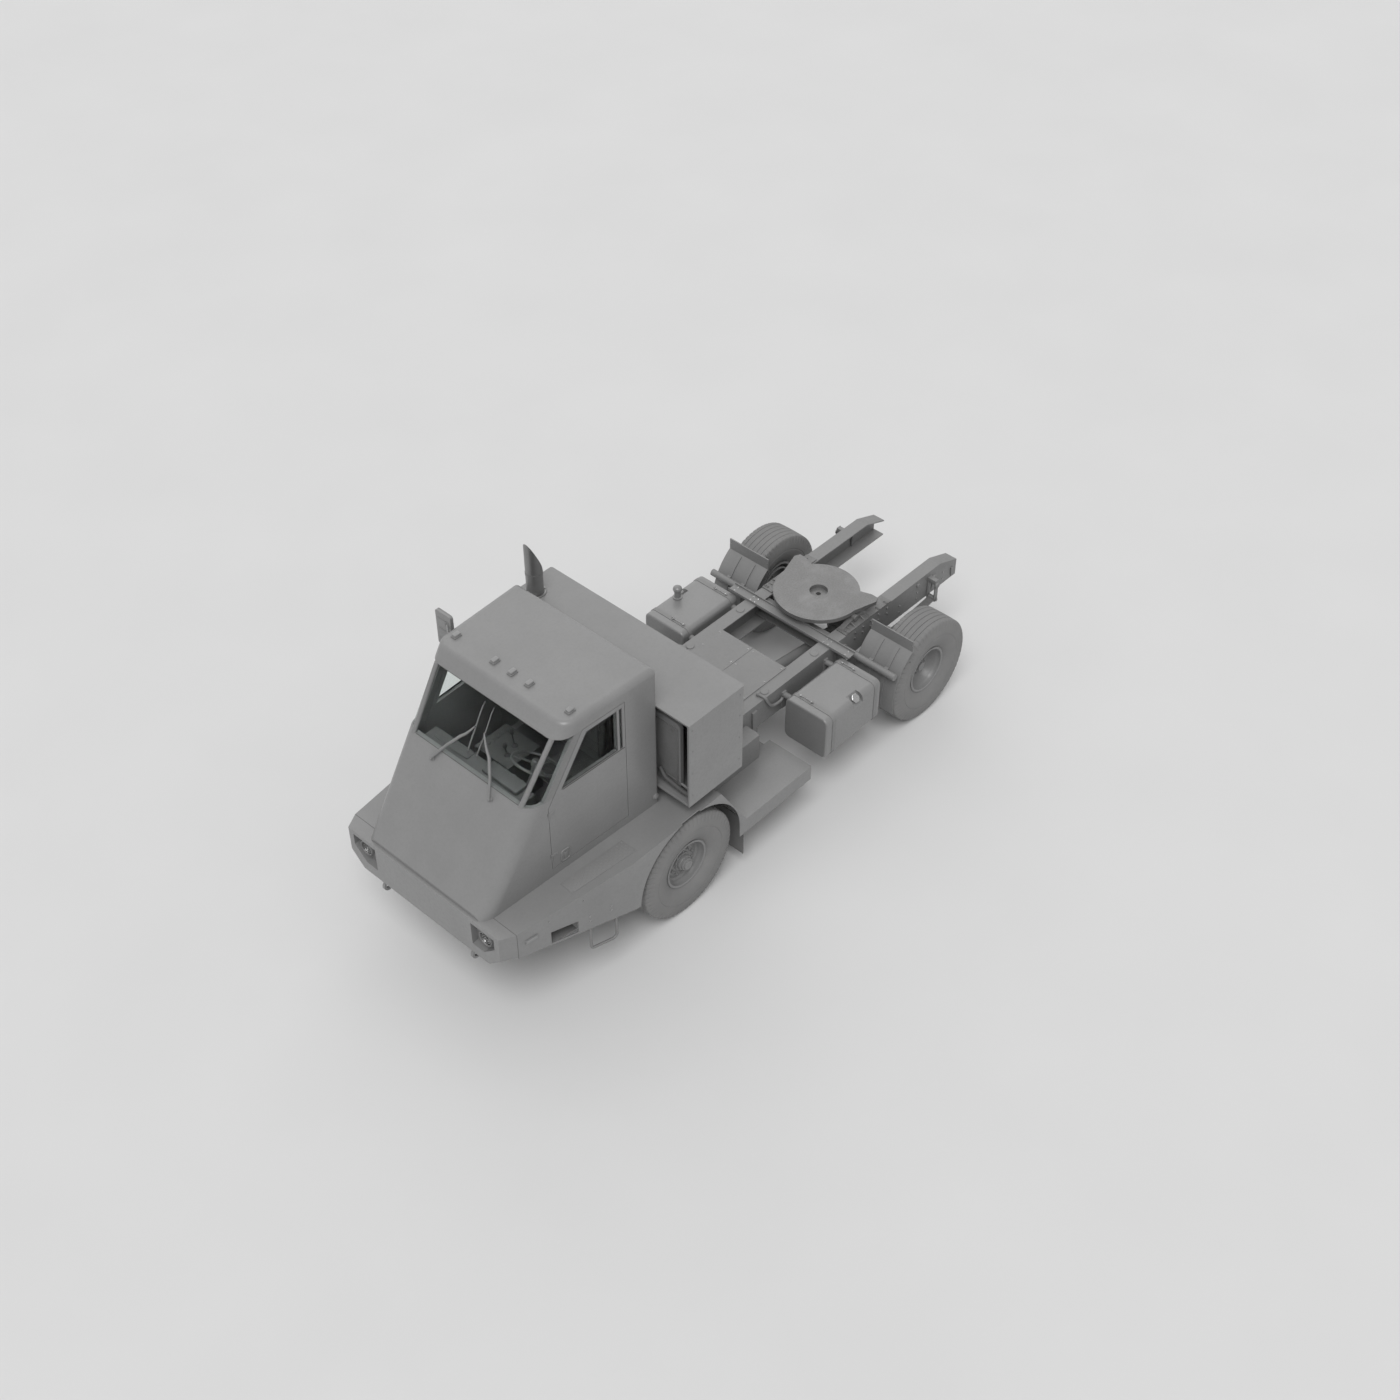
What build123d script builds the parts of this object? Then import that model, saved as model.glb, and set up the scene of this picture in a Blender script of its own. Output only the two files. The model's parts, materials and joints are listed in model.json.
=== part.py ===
from build123d import *
from math import acos, asin, atan2, cos, degrees, radians, sin, tan
import os

os.makedirs("parts", exist_ok=True)

# A terminal tractor: a two-axle tug for trailers in a port or airport yard.
# Millimetres. X runs along the length with the front at +X, the driver's left is +Y, Z is up.
# The origin is on the floor, under the middle of the bounding box.

# Overall sizes
LENGTH = 7190
WIDTH = 2500
HALF_L = LENGTH / 2
HALF_W = WIDTH / 2
RUN_GAP = 0.05          # gap round a pin or spindle that turns
SEAT_GAP = 0.3          # gap where a piece lies in its seat
SEAM = 5                # gap round a door

# Wheels
FRONT_AXLE_X = 1383
WHEELBASE = 3708
REAR_AXLE_X = FRONT_AXLE_X - WHEELBASE
TYRE_R = 600
TYRE_W = 400
TREAD_W = 340
SHOULDER_DROP = 22
BEAD_R = 250
BEAD_W = 280
TYRE_INSET = 10         # from the overall width to the tyre's outer wall
TYRE_Y = HALF_W - TYRE_INSET - TYRE_W / 2
RIM_T = 10
RIM_FLANGE_R = 268
RIM_FLANGE_T = 12
HUB_R = 95
STUD_R = 12
STUD_CIRCLE_R = 132
STUDS = 10
DRUM_R = 200
FRONT_SPINDLE_R = 35
REAR_SPINDLE_R = 50
KINGPIN_Y = 880
KINGPIN_R = 25
KINGPIN_BOSS_R = 45
KINGPIN_BOSS_H = 130

# Frame rails
RAIL_Y = 575            # outer face of the web
RAIL_FLANGE = 148
RAIL_T = 14
RAIL_TOP = 1110
RAIL_BOTTOM = 790
RAIL_KINK_X = -3288
RAIL_END_TOP = 995
RAIL_MID_Y = RAIL_Y - RAIL_FLANGE / 2
WEB_IN_Y = RAIL_Y - RAIL_T
FLANGE_IN_Y = RAIL_Y - RAIL_FLANGE

# Bumper
BUMPER_BACK_X = 3446
BUMPER_T = 12
BUMPER_FACE_Y = 1001    # half width of the flat front face
BUMPER_END_Y = 1079     # half width at the rear of its chamfered ends
BUMPER_BOTTOM = 836
BUMPER_CUT_Y = 845      # where the corner cut starts along the bottom edge
BUMPER_CUT_Z = 990      # how high the corner cut reaches
LAMP_Y = 800
LAMP_Z = 1120
LAMP_R = 82
POCKET_DEPTH = 70
TOW_Y = 600
TOW_X = 3530
TOW_RING_R = 62
TOW_BORE_R = 38
TOW_RING_T = 30
TOW_DROP = 90           # from the bumper's bottom to the ring's centre

# Deck and fenders
DECK_Z = 1280
SHEET = 12
DECK_WIDE_X = 2150      # the deck keeps its full width behind this
FENDER_IN_Y = 700
SKIRT_FRONT_Z = 965     # lower edge of the skirt just behind the bumper
SKIRT_SLOPE = 0.246     # fall of that edge towards the rear
ARCH_R = 690
RIDGE_X = 970           # the deck bends down here
PLATFORM_FRONT_X = 600
PLATFORM_REAR_X = -370
PLATFORM_Z = 660
PLATFORM_EDGE = 185     # depth of the platform's outer edge
FOOT_HOLE_X = (2790, 3090)
FOOT_HOLE_H = 150
FOOT_TRAY_Y = 150
STIRRUP_X = (2350, 2645)
STIRRUP_Z = 430
STIRRUP_R = 14
FLAP_T = 8
FLAP_BOTTOM = 170
FLAP_Y = (850, 1240)

# Cab
CAB_REAR_X = 1430
CAB_REAR_Y = 880        # half width at the rear wall
CAB_TAPER = 0.0458      # loss of half width per unit towards the front
NOSE_X = 3560
NOSE_LIP = 40
ROOF_Z = 2955
SCREEN_TOP_X = 2483     # where the line of the screen meets the roof
WALL = 45
CORNER_R = 145
ROOF_R = 60
REAR_EDGE_R = 30
ROOF_SEAM_Z = 2810
NOSE_TOP_Z = 2240
SCREEN_WRAP = 150       # from the screen's face to the front of the door pillar
PILLAR_W = 75
DOOR_FRAME_W = 62
DOOR_FRONT_X = 2747
DOOR_REAR_X = 1818
DOOR_BOTTOM_Z = 1375
WINDOW_BOTTOM_Z = 2275
WINDOW_TOP_Z = 2760
WINDOW_REAR_X = 1850
DIVIDER_X = (1885, 1910)
GLASS_T = 6
GLASS_INSET = 14
BAR_R = 25
BAR_Y_BOTTOM = 692
BAR_Y_TOP = 725
BACK_WINDOW_Y = 520
BACK_WINDOW_Z = (2500, 2750)
HINGE_R = 8
HINGE_PIN_R = 4
HINGE_H = 40
HINGE_HEIGHTS = (1520, 2050)

# Cab inside
FLOOR_Z = DECK_Z + WALL
DASH_X = 2725
DASH_Z = 2185
DASH_Y = 640
WHEEL_CENTRE = (2400, 310, 2105)
WHEEL_R = 225
WHEEL_RIM_R = 15
COLUMN_FOOT_X = 2830
SEAT_Y = 310
SEAT_X = 1950
SEAT_Z = 1660
SEAT_W = 480
SEAT_D = 480
CUSHION_T = 110
BACK_H = 560
BACK_T = 100
CONSOLE_X = (2050, 2450)
CONSOLE_Y = (-470, -20)
CONSOLE_Z = 1850

# Housing behind the cab
HOUSING_X = (662, 1405)
HOUSING_Y = 1245
HOUSING_Z = (1432, 2460)
HOUSING_T = 16
RADIATOR_X = (1270, 1310)
RADIATOR_Y = 1050
RADIATOR_TOP = 2280
STACK_X = 1030
STACK_Y = -1087
STACK_R = 84
STACK_TOP = 3078
STACK_WALL = 5
SIDE_BOX_X = (-120, 600)
SIDE_BOX_Y = (600, 785)
SIDE_BOX_TOP = 970

# Engine and driveline
ENGINE_X = (420, 1230)
ENGINE_Y = 400
ENGINE_Z = (740, 1400)
GEARBOX_X = (-880, 420)
GEARBOX_Y = 330
GEARBOX_Z = (680, 1050)
SHAFT_R = 55
SHAFT_Y = 80
COVER_X = (-905, 415)
COVER_Y = 440
COVER_T = 10

# Tanks
TANK_X = (-1450, -600)
TANK_Y = (690, 1245)
TANK_Z = (560, 1085)
TANK_R = 70
STRAP_X = (-714, -1372)
STRAP_W = 50
STRAP_T = 5
CAP_X = -1085
CAP_R = 52
CAP_NECK_Y = 1182
CAP_NECK_Z = 1036

# Cross channel, cross tube and rear mudguards
CHANNEL_X = (-1549, -1430)
CHANNEL_Y = 815
CHANNEL_T = 8
CHANNEL_TOP = 1140
CHANNEL_MID_TOP = 1148
TUBE_X = -1668
TUBE_Z = 965
TUBE_R = 38
GUARD_R = 650
GUARD_T = 6
GUARD_Y = (706, 1250)
GUARD_PLATE_X = -1946
GUARD_PLATE_TOP = 1263
GUARD_LOW_DEG = -15
RIB_W = 45
RIB_T = 12

# Fifth wheel
FIFTH_X = -1937
FIFTH_TOP = 1250
FIFTH_T = 45
FIFTH_FRONT_R = 478
FIFTH_REAR_R = 436
EAR_X = -2262
EAR_Y = 558
FIFTH_HOLE_R = 97
JAW_R = 125
JAW_T = 55
KING_BORE_R = 25.45
PIVOT_Z = 1165
PIVOT_R = 25
LUG_Y = (400, 435)
LUG_R = 36
PEDESTAL_Y = (441, 500)
BASE_X = (-2440, -1700)
BASE_T = 12

# Axles and springs
SPRING_W = 90
LEAF_T = 16
LEAVES = 5
FRONT_SPRING_Y = RAIL_MID_Y
REAR_SPRING_Y = 640
FRONT_BEAM = (90, 110)  # width and depth of the front axle beam
REAR_TUBE_R = 75


def deck_y(x):
    """Half width of the deck at a place along the length."""
    taper = (HALF_W - BUMPER_END_Y) / (BUMPER_BACK_X - DECK_WIDE_X)
    return HALF_W - max(0, x - DECK_WIDE_X) * taper


def cab_y(x):
    """Half width of the cab at a place along the length."""
    return CAB_REAR_Y - CAB_TAPER * (x - CAB_REAR_X)


NOSE_Z = DECK_Z + NOSE_LIP
SCREEN_RISE = ROOF_Z - NOSE_Z
SCREEN_RUN = NOSE_X - SCREEN_TOP_X
SCREEN_SLOPE = atan2(SCREEN_RISE, SCREEN_RUN)


def screen_x(z, inset=0):
    """X of the sloped front plane at height z, moved inwards by inset."""
    return NOSE_X - (z - NOSE_Z) / tan(SCREEN_SLOPE) - inset / sin(SCREEN_SLOPE)


def screen_z(x, inset=0):
    """Height of the sloped front plane at x, moved inwards by inset."""
    return NOSE_Z + (NOSE_X - x - inset / sin(SCREEN_SLOPE)) * tan(SCREEN_SLOPE)


def slab(x, y, z, mode=Mode.ADD):
    """A box between pairs of limits."""
    with Locations(((x[0] + x[1]) / 2, (y[0] + y[1]) / 2, (z[0] + z[1]) / 2)):
        Box(abs(x[1] - x[0]), abs(y[1] - y[0]), abs(z[1] - z[0]), mode=mode)


def side_prism(points, y, mode=Mode.ADD):
    """An outline in X and Z, drawn out between two values of Y."""
    with BuildSketch(Plane.XZ.offset(-max(y))) as outline:
        with BuildLine():
            Polyline(*points, close=True)
        make_face()
    extrude(outline.sketch, amount=max(y) - min(y), mode=mode)


def plan_prism(points, z, mode=Mode.ADD):
    """An outline in X and Y, drawn out between two heights."""
    with BuildSketch(Plane.XY.offset(min(z))) as outline:
        with BuildLine():
            Polyline(*points, close=True)
        make_face()
    extrude(outline.sketch, amount=max(z) - min(z), mode=mode)


def end_prism(points, x, mode=Mode.ADD):
    """An outline in Y and Z, drawn out between two values of X."""
    with BuildSketch(Plane.YZ.offset(min(x))) as outline:
        with BuildLine():
            Polyline(*points, close=True)
        make_face()
    extrude(outline.sketch, amount=max(x) - min(x), mode=mode)


def rod(start, end, radius, mode=Mode.ADD):
    """A round bar from one point to another."""
    run = Vector(*end) - Vector(*start)
    with BuildSketch(Plane(origin=start, z_dir=run)) as section:
        Circle(radius)
    extrude(section.sketch, amount=run.length, mode=mode)


def cross_pin(x, y, z, radius, mode=Mode.ADD):
    """A round bar along Y between two values of Y."""
    rod((x, min(y), z), (x, max(y), z), radius, mode)


# Frame rails: two channels that are open towards the middle and taper off at the rear
RAIL_FRONT_X = HALF_L - BUMPER_T
RAIL_FRONT_Z = BUMPER_BOTTOM + BUMPER_T
RAIL_NOTCH_X = 3430
TAPER_TAN = (RAIL_TOP - RAIL_END_TOP) / (RAIL_KINK_X + HALF_L)
with BuildPart() as frame_rails:
    side_prism([(-HALF_L, RAIL_BOTTOM), (RAIL_NOTCH_X, RAIL_BOTTOM), (RAIL_NOTCH_X, RAIL_FRONT_Z),
                (RAIL_FRONT_X, RAIL_FRONT_Z), (RAIL_FRONT_X, RAIL_TOP),
                (RAIL_KINK_X, RAIL_TOP), (-HALF_L, RAIL_END_TOP)], (FLANGE_IN_Y, RAIL_Y))
    OPEN_END = 50
    low = RAIL_BOTTOM + RAIL_T
    high = RAIL_TOP - RAIL_T
    side_prism([(-HALF_L - OPEN_END, low), (RAIL_FRONT_X + OPEN_END, low), (RAIL_FRONT_X + OPEN_END, high),
                (RAIL_KINK_X, high), (-HALF_L - OPEN_END, RAIL_END_TOP - RAIL_T - OPEN_END * TAPER_TAN)],
               (FLANGE_IN_Y - OPEN_END, WEB_IN_Y), mode=Mode.SUBTRACT)
    mirror(about=Plane.XZ)
frame_rails.part.label = "frame_rails"
export_step(frame_rails.part, "parts/frame_rails.step")

# Cross members between the webs: x and width of each
CROSS_MEMBERS = [(3380, 90), (2500, 90), (1500, 90), (-1620, 80), (-2240, 80)]
CROSS_Z = (RAIL_BOTTOM + 40, RAIL_TOP - 40)
CAB_MOUNT_X = (1620, 3150)
CAB_MOUNT = 120
HOUSING_FEET_X = (760, 1300)
with BuildPart() as cross_members:
    for x, wide in CROSS_MEMBERS:
        slab((x - wide / 2, x + wide / 2), (-WEB_IN_Y, WEB_IN_Y), CROSS_Z)
        slab((x - wide / 2 + 10, x + wide / 2), (-WEB_IN_Y, WEB_IN_Y), (CROSS_Z[0] + 10, CROSS_Z[1] - 10),
             mode=Mode.SUBTRACT)
cross_members.part.label = "cross_members"
export_step(cross_members.part, "parts/cross_members.step")

with BuildPart() as body_mounts:
    for side in (1, -1):
        for x in CAB_MOUNT_X:
            slab((x - CAB_MOUNT / 2, x + CAB_MOUNT / 2),
                 (side * RAIL_MID_Y - CAB_MOUNT / 2, side * RAIL_MID_Y + CAB_MOUNT / 2), (RAIL_TOP, DECK_Z))
        for x in HOUSING_FEET_X:
            slab((x - 50, x + 50), (side * RAIL_MID_Y - 50, side * RAIL_MID_Y + 50), (RAIL_TOP, HOUSING_Z[0]))
body_mounts.part.label = "body_mounts"
export_step(body_mounts.part, "parts/body_mounts.step")

# Bumper: a folded sheet across the front with lamp pockets and tow rings
POCKET = [(640, 1232), (640, 955), (790, 955), (940, 1100), (940, 1232)]
POCKET_WALL = 8
BUMPER_LEAN = (BUMPER_END_Y - BUMPER_FACE_Y) / (HALF_L - BUMPER_BACK_X)


def bumper_block(inset, past_back):
    """The bumper's outer form, moved inwards by inset and drawn out past its rear edge."""
    back = BUMPER_BACK_X - past_back
    face = HALF_L - inset
    end_y = BUMPER_END_Y + BUMPER_LEAN * past_back - inset
    face_y = BUMPER_FACE_Y - inset
    with BuildPart() as block:
        plan_prism([(back, end_y), (face, face_y), (face, -face_y), (back, -end_y)],
                   (BUMPER_BOTTOM + inset, DECK_Z - inset))
        for side in (1, -1):
            end_prism([(side * (BUMPER_CUT_Y - inset), BUMPER_BOTTOM - 1),
                       (side * (BUMPER_FACE_Y - inset), BUMPER_CUT_Z),
                       (side * (BUMPER_END_Y + 200), BUMPER_CUT_Z - 40),
                       (side * (BUMPER_END_Y + 200), BUMPER_BOTTOM - 1)],
                      (back - 10, HALF_L + 10), mode=Mode.SUBTRACT)
    return block.part


with BuildPart() as bumper:
    add(bumper_block(0, 0))
    add(bumper_block(BUMPER_T, OPEN_END), mode=Mode.SUBTRACT)
    for side in (1, -1):
        edge = [(side * y, z) for y, z in POCKET]
        with BuildSketch(Plane.YZ.offset(HALF_L)) as pocket:
            with BuildLine():
                Polyline(*edge, close=True)
            make_face()
            offset(amount=POCKET_WALL, kind=Kind.INTERSECTION)
        extrude(amount=-POCKET_DEPTH - POCKET_WALL)
        end_prism(edge, (HALF_L - POCKET_DEPTH, HALF_L + 1), mode=Mode.SUBTRACT)
        ring_z = BUMPER_BOTTOM - TOW_DROP
        ring_y = (side * TOW_Y - TOW_RING_T / 2, side * TOW_Y + TOW_RING_T / 2)
        slab((TOW_X - 15, TOW_X + 15), ring_y, (ring_z + TOW_BORE_R + 8, BUMPER_BOTTOM + BUMPER_T / 2))
        cross_pin(TOW_X, ring_y, ring_z, TOW_RING_R)
        cross_pin(TOW_X, (ring_y[0] - 1, ring_y[1] + 1), ring_z, TOW_BORE_R, mode=Mode.SUBTRACT)
bumper.part.label = "bumper"
export_step(bumper.part, "parts/bumper.step")

# Lamps: headlamps in the pockets, marker lamps on the roof and on the skirts
MARKER_X = 2320
MARKER_YS = (-715, -218, 0, 218, 715)
MARKER = (90, 62, 36)
SIDE_MARKER_X = 3300
SIDE_MARKER_Z = 1122
with BuildPart() as lamps:
    for side in (1, -1):
        lens_back = HALF_L - POCKET_DEPTH
        rod((lens_back, side * LAMP_Y, LAMP_Z), (HALF_L - 18, side * LAMP_Y, LAMP_Z), LAMP_R)
        taper = degrees(atan2(HALF_W - BUMPER_END_Y, BUMPER_BACK_X - DECK_WIDE_X))
        with Locations(Location((SIDE_MARKER_X, side * (deck_y(SIDE_MARKER_X) + 8), SIDE_MARKER_Z),
                                (0, 0, -side * taper))):
            Box(140, 15, 46)
    for y in MARKER_YS:
        with Locations((MARKER_X, y, ROOF_Z + MARKER[2] / 2)):
            Box(*MARKER)
lamps.part.label = "lamps"
export_step(lamps.part, "parts/lamps.step")

# Fenders: each a folded sheet with the deck, the skirt, the arch and the low rear platform
ARCH_LOW_Z = SKIRT_FRONT_Z - SKIRT_SLOPE * (BUMPER_BACK_X - 2080)
arch_start = degrees(asin((ARCH_LOW_Z - TYRE_R) / ARCH_R))
SKIRT_FRONT_X = BUMPER_BACK_X
FOLD = 0.7              # how far a slanted sheet's edge moves along X for each unit of its thickness


def fender_block(inset):
    """The left fender's outer form, moved inwards by inset but open at its front."""
    with BuildPart() as block:
        side_prism([(SKIRT_FRONT_X + inset, 300), (SKIRT_FRONT_X + inset, DECK_Z - inset),
                    (RIDGE_X + inset * FOLD, DECK_Z - inset), (PLATFORM_FRONT_X + inset * FOLD, PLATFORM_Z - inset),
                    (PLATFORM_REAR_X + inset, PLATFORM_Z - inset), (PLATFORM_REAR_X + inset, 300)],
                   (FENDER_IN_Y - 2 * inset, HALF_W))
        past = SKIRT_FRONT_X + 50
        plan_prism([(past, 0), (past, deck_y(past) - inset), (DECK_WIDE_X, HALF_W - inset),
                    (PLATFORM_REAR_X - 50, HALF_W - inset), (PLATFORM_REAR_X - 50, 0)],
                   (200, DECK_Z + 10), mode=Mode.INTERSECT)
    return block.part


with BuildPart() as fender_l:
    add(fender_block(0))
    add(fender_block(SHEET), mode=Mode.SUBTRACT)
    # below the skirt's edge, round the wheel and below the platform's edge is open
    skirt_low = SKIRT_FRONT_Z - SKIRT_SLOPE * (BUMPER_BACK_X - 2000)
    side_prism([(SKIRT_FRONT_X + 10, SKIRT_FRONT_Z), (2000, skirt_low), (2000, 200), (SKIRT_FRONT_X + 10, 200)],
               (0, HALF_W + 10), mode=Mode.SUBTRACT)
    slab((PLATFORM_REAR_X - 10, FRONT_AXLE_X - ARCH_R + 10), (0, HALF_W + 10), (200, PLATFORM_Z - PLATFORM_EDGE),
         mode=Mode.SUBTRACT)
    with BuildSketch(Plane.XZ.offset(-HALF_W - 10)):
        with Locations((FRONT_AXLE_X, TYRE_R)):
            Circle(ARCH_R)
        with Locations((FRONT_AXLE_X, TYRE_R - ARCH_R / 2)):
            Rectangle(2 * ARCH_R * cos(radians(arch_start)), ARCH_R)
    extrude(amount=SHEET + 20, mode=Mode.SUBTRACT)
    hole_low = SKIRT_FRONT_Z - SKIRT_SLOPE * (BUMPER_BACK_X - FOOT_HOLE_X[0]) + 20
    hole_high = SKIRT_FRONT_Z - SKIRT_SLOPE * (BUMPER_BACK_X - FOOT_HOLE_X[1]) + 20
    side_prism([(FOOT_HOLE_X[0], hole_low), (FOOT_HOLE_X[1], hole_high), (FOOT_HOLE_X[1], hole_high + FOOT_HOLE_H),
                (FOOT_HOLE_X[0], hole_low + FOOT_HOLE_H)], (FENDER_IN_Y + 100, HALF_W), mode=Mode.SUBTRACT)
    hole_y = deck_y(FOOT_HOLE_X[0]) - SHEET
    side_prism([(FOOT_HOLE_X[0] - 20, hole_low - SHEET), (FOOT_HOLE_X[1] + 20, hole_high - SHEET),
                (FOOT_HOLE_X[1] + 20, hole_high), (FOOT_HOLE_X[0] - 20, hole_low)],
               (hole_y - FOOT_TRAY_Y, deck_y(FOOT_HOLE_X[1]) - SHEET / 2))
fender_l.part.label = "fender_l"
export_step(fender_l.part, "parts/fender_l.step")

with BuildPart() as fender_r:
    add(mirror(fender_l.part, about=Plane.XZ, mode=Mode.PRIVATE))
fender_r.part.label = "fender_r"
export_step(fender_r.part, "parts/fender_r.step")

# Outriggers: brackets from the rail webs that carry the fenders. Deck brackets, then platform brackets
DECK_BRACKET_X = (3230, 2240)
PLATFORM_BRACKET_X = (420, -260)
BRACKET_W = 70
BRACKET_T = 25
BRACKET_D = 55
with BuildPart() as outriggers:
    for side in (1, -1):
        for x in DECK_BRACKET_X:
            xs = (x - BRACKET_W / 2, x + BRACKET_W / 2)
            slab(xs, (side * RAIL_Y, side * (RAIL_Y + BRACKET_T)), (RAIL_BOTTOM + 60, DECK_Z - SHEET))
            slab(xs, (side * RAIL_Y, side * (deck_y(xs[1]) - SHEET)), (DECK_Z - SHEET - BRACKET_D, DECK_Z - SHEET))
        for x in PLATFORM_BRACKET_X:
            xs = (x - BRACKET_W / 2, x + BRACKET_W / 2)
            low = PLATFORM_Z - SHEET - BRACKET_D
            slab(xs, (side * RAIL_Y, side * (RAIL_Y + BRACKET_T)), (low, RAIL_TOP - 60))
            slab(xs, (side * RAIL_Y, side * (HALF_W - SHEET)), (low, PLATFORM_Z - SHEET))
outriggers.part.label = "outriggers"
export_step(outriggers.part, "parts/outriggers.step")

# Stirrup steps: bent bars that hang from the skirts
with BuildPart() as stirrups:
    bar_y = [deck_y(x) - SHEET - STIRRUP_R - SEAT_GAP for x in STIRRUP_X]
    edge_z = [SKIRT_FRONT_Z - SKIRT_SLOPE * (BUMPER_BACK_X - x) for x in STIRRUP_X]
    HOLD = 70
    with BuildLine() as stirrup_path:
        FilletPolyline((STIRRUP_X[0], bar_y[0], edge_z[0] + HOLD), (STIRRUP_X[0], bar_y[0], STIRRUP_Z - 30),
                       (STIRRUP_X[1], bar_y[1], STIRRUP_Z + 30), (STIRRUP_X[1], bar_y[1], edge_z[1] + HOLD),
                       radius=45)
    with BuildSketch(Plane(origin=stirrup_path.line @ 0, z_dir=stirrup_path.line % 0)):
        Circle(STIRRUP_R)
    sweep(path=stirrup_path.line)
    mirror(about=Plane.XZ)
stirrups.part.label = "stirrups"
export_step(stirrups.part, "parts/stirrups.step")

# Mud flaps behind the front wheels
with BuildPart() as mud_flaps:
    flap_x = PLATFORM_FRONT_X + SHEET * 0.7
    for side in (1, -1):
        slab((flap_x + 14, flap_x + 14 + FLAP_T), (side * FLAP_Y[0], side * (HALF_W - SHEET - SEAT_GAP)),
             (FLAP_BOTTOM, PLATFORM_Z - 8))
mud_flaps.part.label = "mud_flaps"
export_step(mud_flaps.part, "parts/mud_flaps.step")


def cab_block(inset):
    """The cab's closed outer form, moved inwards by inset."""
    with BuildPart() as block:
        with BuildSketch(Plane.XZ.offset(-HALF_W)):
            with BuildLine():
                Polyline((CAB_REAR_X, DECK_Z), (NOSE_X, DECK_Z), (NOSE_X, NOSE_Z), (SCREEN_TOP_X, ROOF_Z),
                         (CAB_REAR_X, ROOF_Z), close=True)
            make_face()
            if inset:
                offset(amount=-inset, kind=Kind.INTERSECTION)
        extrude(amount=WIDTH)
        rear_y = cab_y(CAB_REAR_X - 100) - inset
        front_y = cab_y(NOSE_X + 100) - inset
        plan_prism([(CAB_REAR_X - 100, rear_y), (NOSE_X + 100, front_y), (NOSE_X + 100, -front_y),
                    (CAB_REAR_X - 100, -rear_y)], (DECK_Z - 10, ROOF_Z + 10), mode=Mode.INTERSECT)
        slanted = [e for e in block.edges() if e.length > 1000 and 0.3 < abs((e % 0.5).Z) < 0.95]
        fillet(slanted, CORNER_R - inset)
        if inset < REAR_EDGE_R:
            upright = block.edges().filter_by(Axis.Z).group_by(Axis.X)[0]
            fillet(upright, REAR_EDGE_R - inset)
        fillet(block.faces().sort_by(Axis.Z)[-1].edges(), ROOF_R - inset)
    return block.part


cab_outer = cab_block(0)
cab_inner = cab_block(WALL)
with BuildPart() as cab_shell:
    add(cab_outer)
    add(cab_inner, mode=Mode.SUBTRACT)
with BuildPart() as glass_shell:
    add(cab_block(GLASS_INSET))
    add(cab_block(GLASS_INSET + GLASS_T), mode=Mode.SUBTRACT)

FAR = HALF_W + 50
PILLAR_BACK = SCREEN_WRAP + PILLAR_W
DOOR_KNEE_Z = screen_z(DOOR_FRONT_X, PILLAR_BACK)
REAR_WALL_X = CAB_REAR_X + WALL

with BuildPart() as cab_floor:
    add(cab_shell.part)
    slab((CAB_REAR_X - 10, NOSE_X + 10), (-FAR, FAR), (DECK_Z - 10, FLOOR_Z), mode=Mode.INTERSECT)
cab_floor.part.label = "cab_floor"
export_step(cab_floor.part, "parts/cab_floor.step")

with BuildPart() as cab_roof:
    add(cab_shell.part)
    slab((CAB_REAR_X - 10, NOSE_X + 10), (-FAR, FAR), (ROOF_SEAM_Z, ROOF_Z + 10), mode=Mode.INTERSECT)
cab_roof.part.label = "cab_roof"
export_step(cab_roof.part, "parts/cab_roof.step")

with BuildPart() as cab_rear_wall:
    add(cab_shell.part)
    slab((CAB_REAR_X - 10, REAR_WALL_X), (-FAR, FAR), (FLOOR_Z, ROOF_SEAM_Z), mode=Mode.INTERSECT)
    slab((CAB_REAR_X - 10, REAR_WALL_X + 10), (-BACK_WINDOW_Y, BACK_WINDOW_Y), BACK_WINDOW_Z, mode=Mode.SUBTRACT)
cab_rear_wall.part.label = "cab_rear_wall"
export_step(cab_rear_wall.part, "parts/cab_rear_wall.step")

with BuildPart() as cab_sides:
    add(cab_shell.part)
    side_prism([(REAR_WALL_X, FLOOR_Z), (DOOR_FRONT_X, FLOOR_Z), (DOOR_FRONT_X, DOOR_BOTTOM_Z - SEAM),
                (DOOR_REAR_X - SEAM, DOOR_BOTTOM_Z - SEAM), (DOOR_REAR_X - SEAM, ROOF_SEAM_Z),
                (REAR_WALL_X, ROOF_SEAM_Z)], (-FAR, FAR), mode=Mode.INTERSECT)
cab_sides.part.label = "cab_sides"
export_step(cab_sides.part, "parts/cab_sides.step")


def hinge_axis(side):
    """Where a door turns: on the outer face, in the front seam."""
    return (DOOR_FRONT_X - SEAM / 2, side * cab_y(DOOR_FRONT_X))


with BuildPart() as cab_nose:
    add(cab_shell.part)
    side_prism([(DOOR_FRONT_X, FLOOR_Z), (NOSE_X + 10, FLOOR_Z), (NOSE_X + 10, NOSE_TOP_Z),
                (screen_x(NOSE_TOP_Z, PILLAR_BACK), NOSE_TOP_Z), (DOOR_FRONT_X, DOOR_KNEE_Z)],
               (-FAR, FAR), mode=Mode.INTERSECT)
    for side in (1, -1):
        x, y = hinge_axis(side)
        for z in HINGE_HEIGHTS:
            rod((x, y, z + SEAT_GAP - SEAM), (x, y, z + HINGE_H + SEAM), HINGE_R + SEAM, mode=Mode.SUBTRACT)
            rod((x, y, z - HINGE_H), (x, y, z), HINGE_R)
            rod((x, y, z - 1), (x, y, z + HINGE_H - 2), HINGE_PIN_R)
cab_nose.part.label = "cab_nose"
export_step(cab_nose.part, "parts/cab_nose.step")

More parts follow.
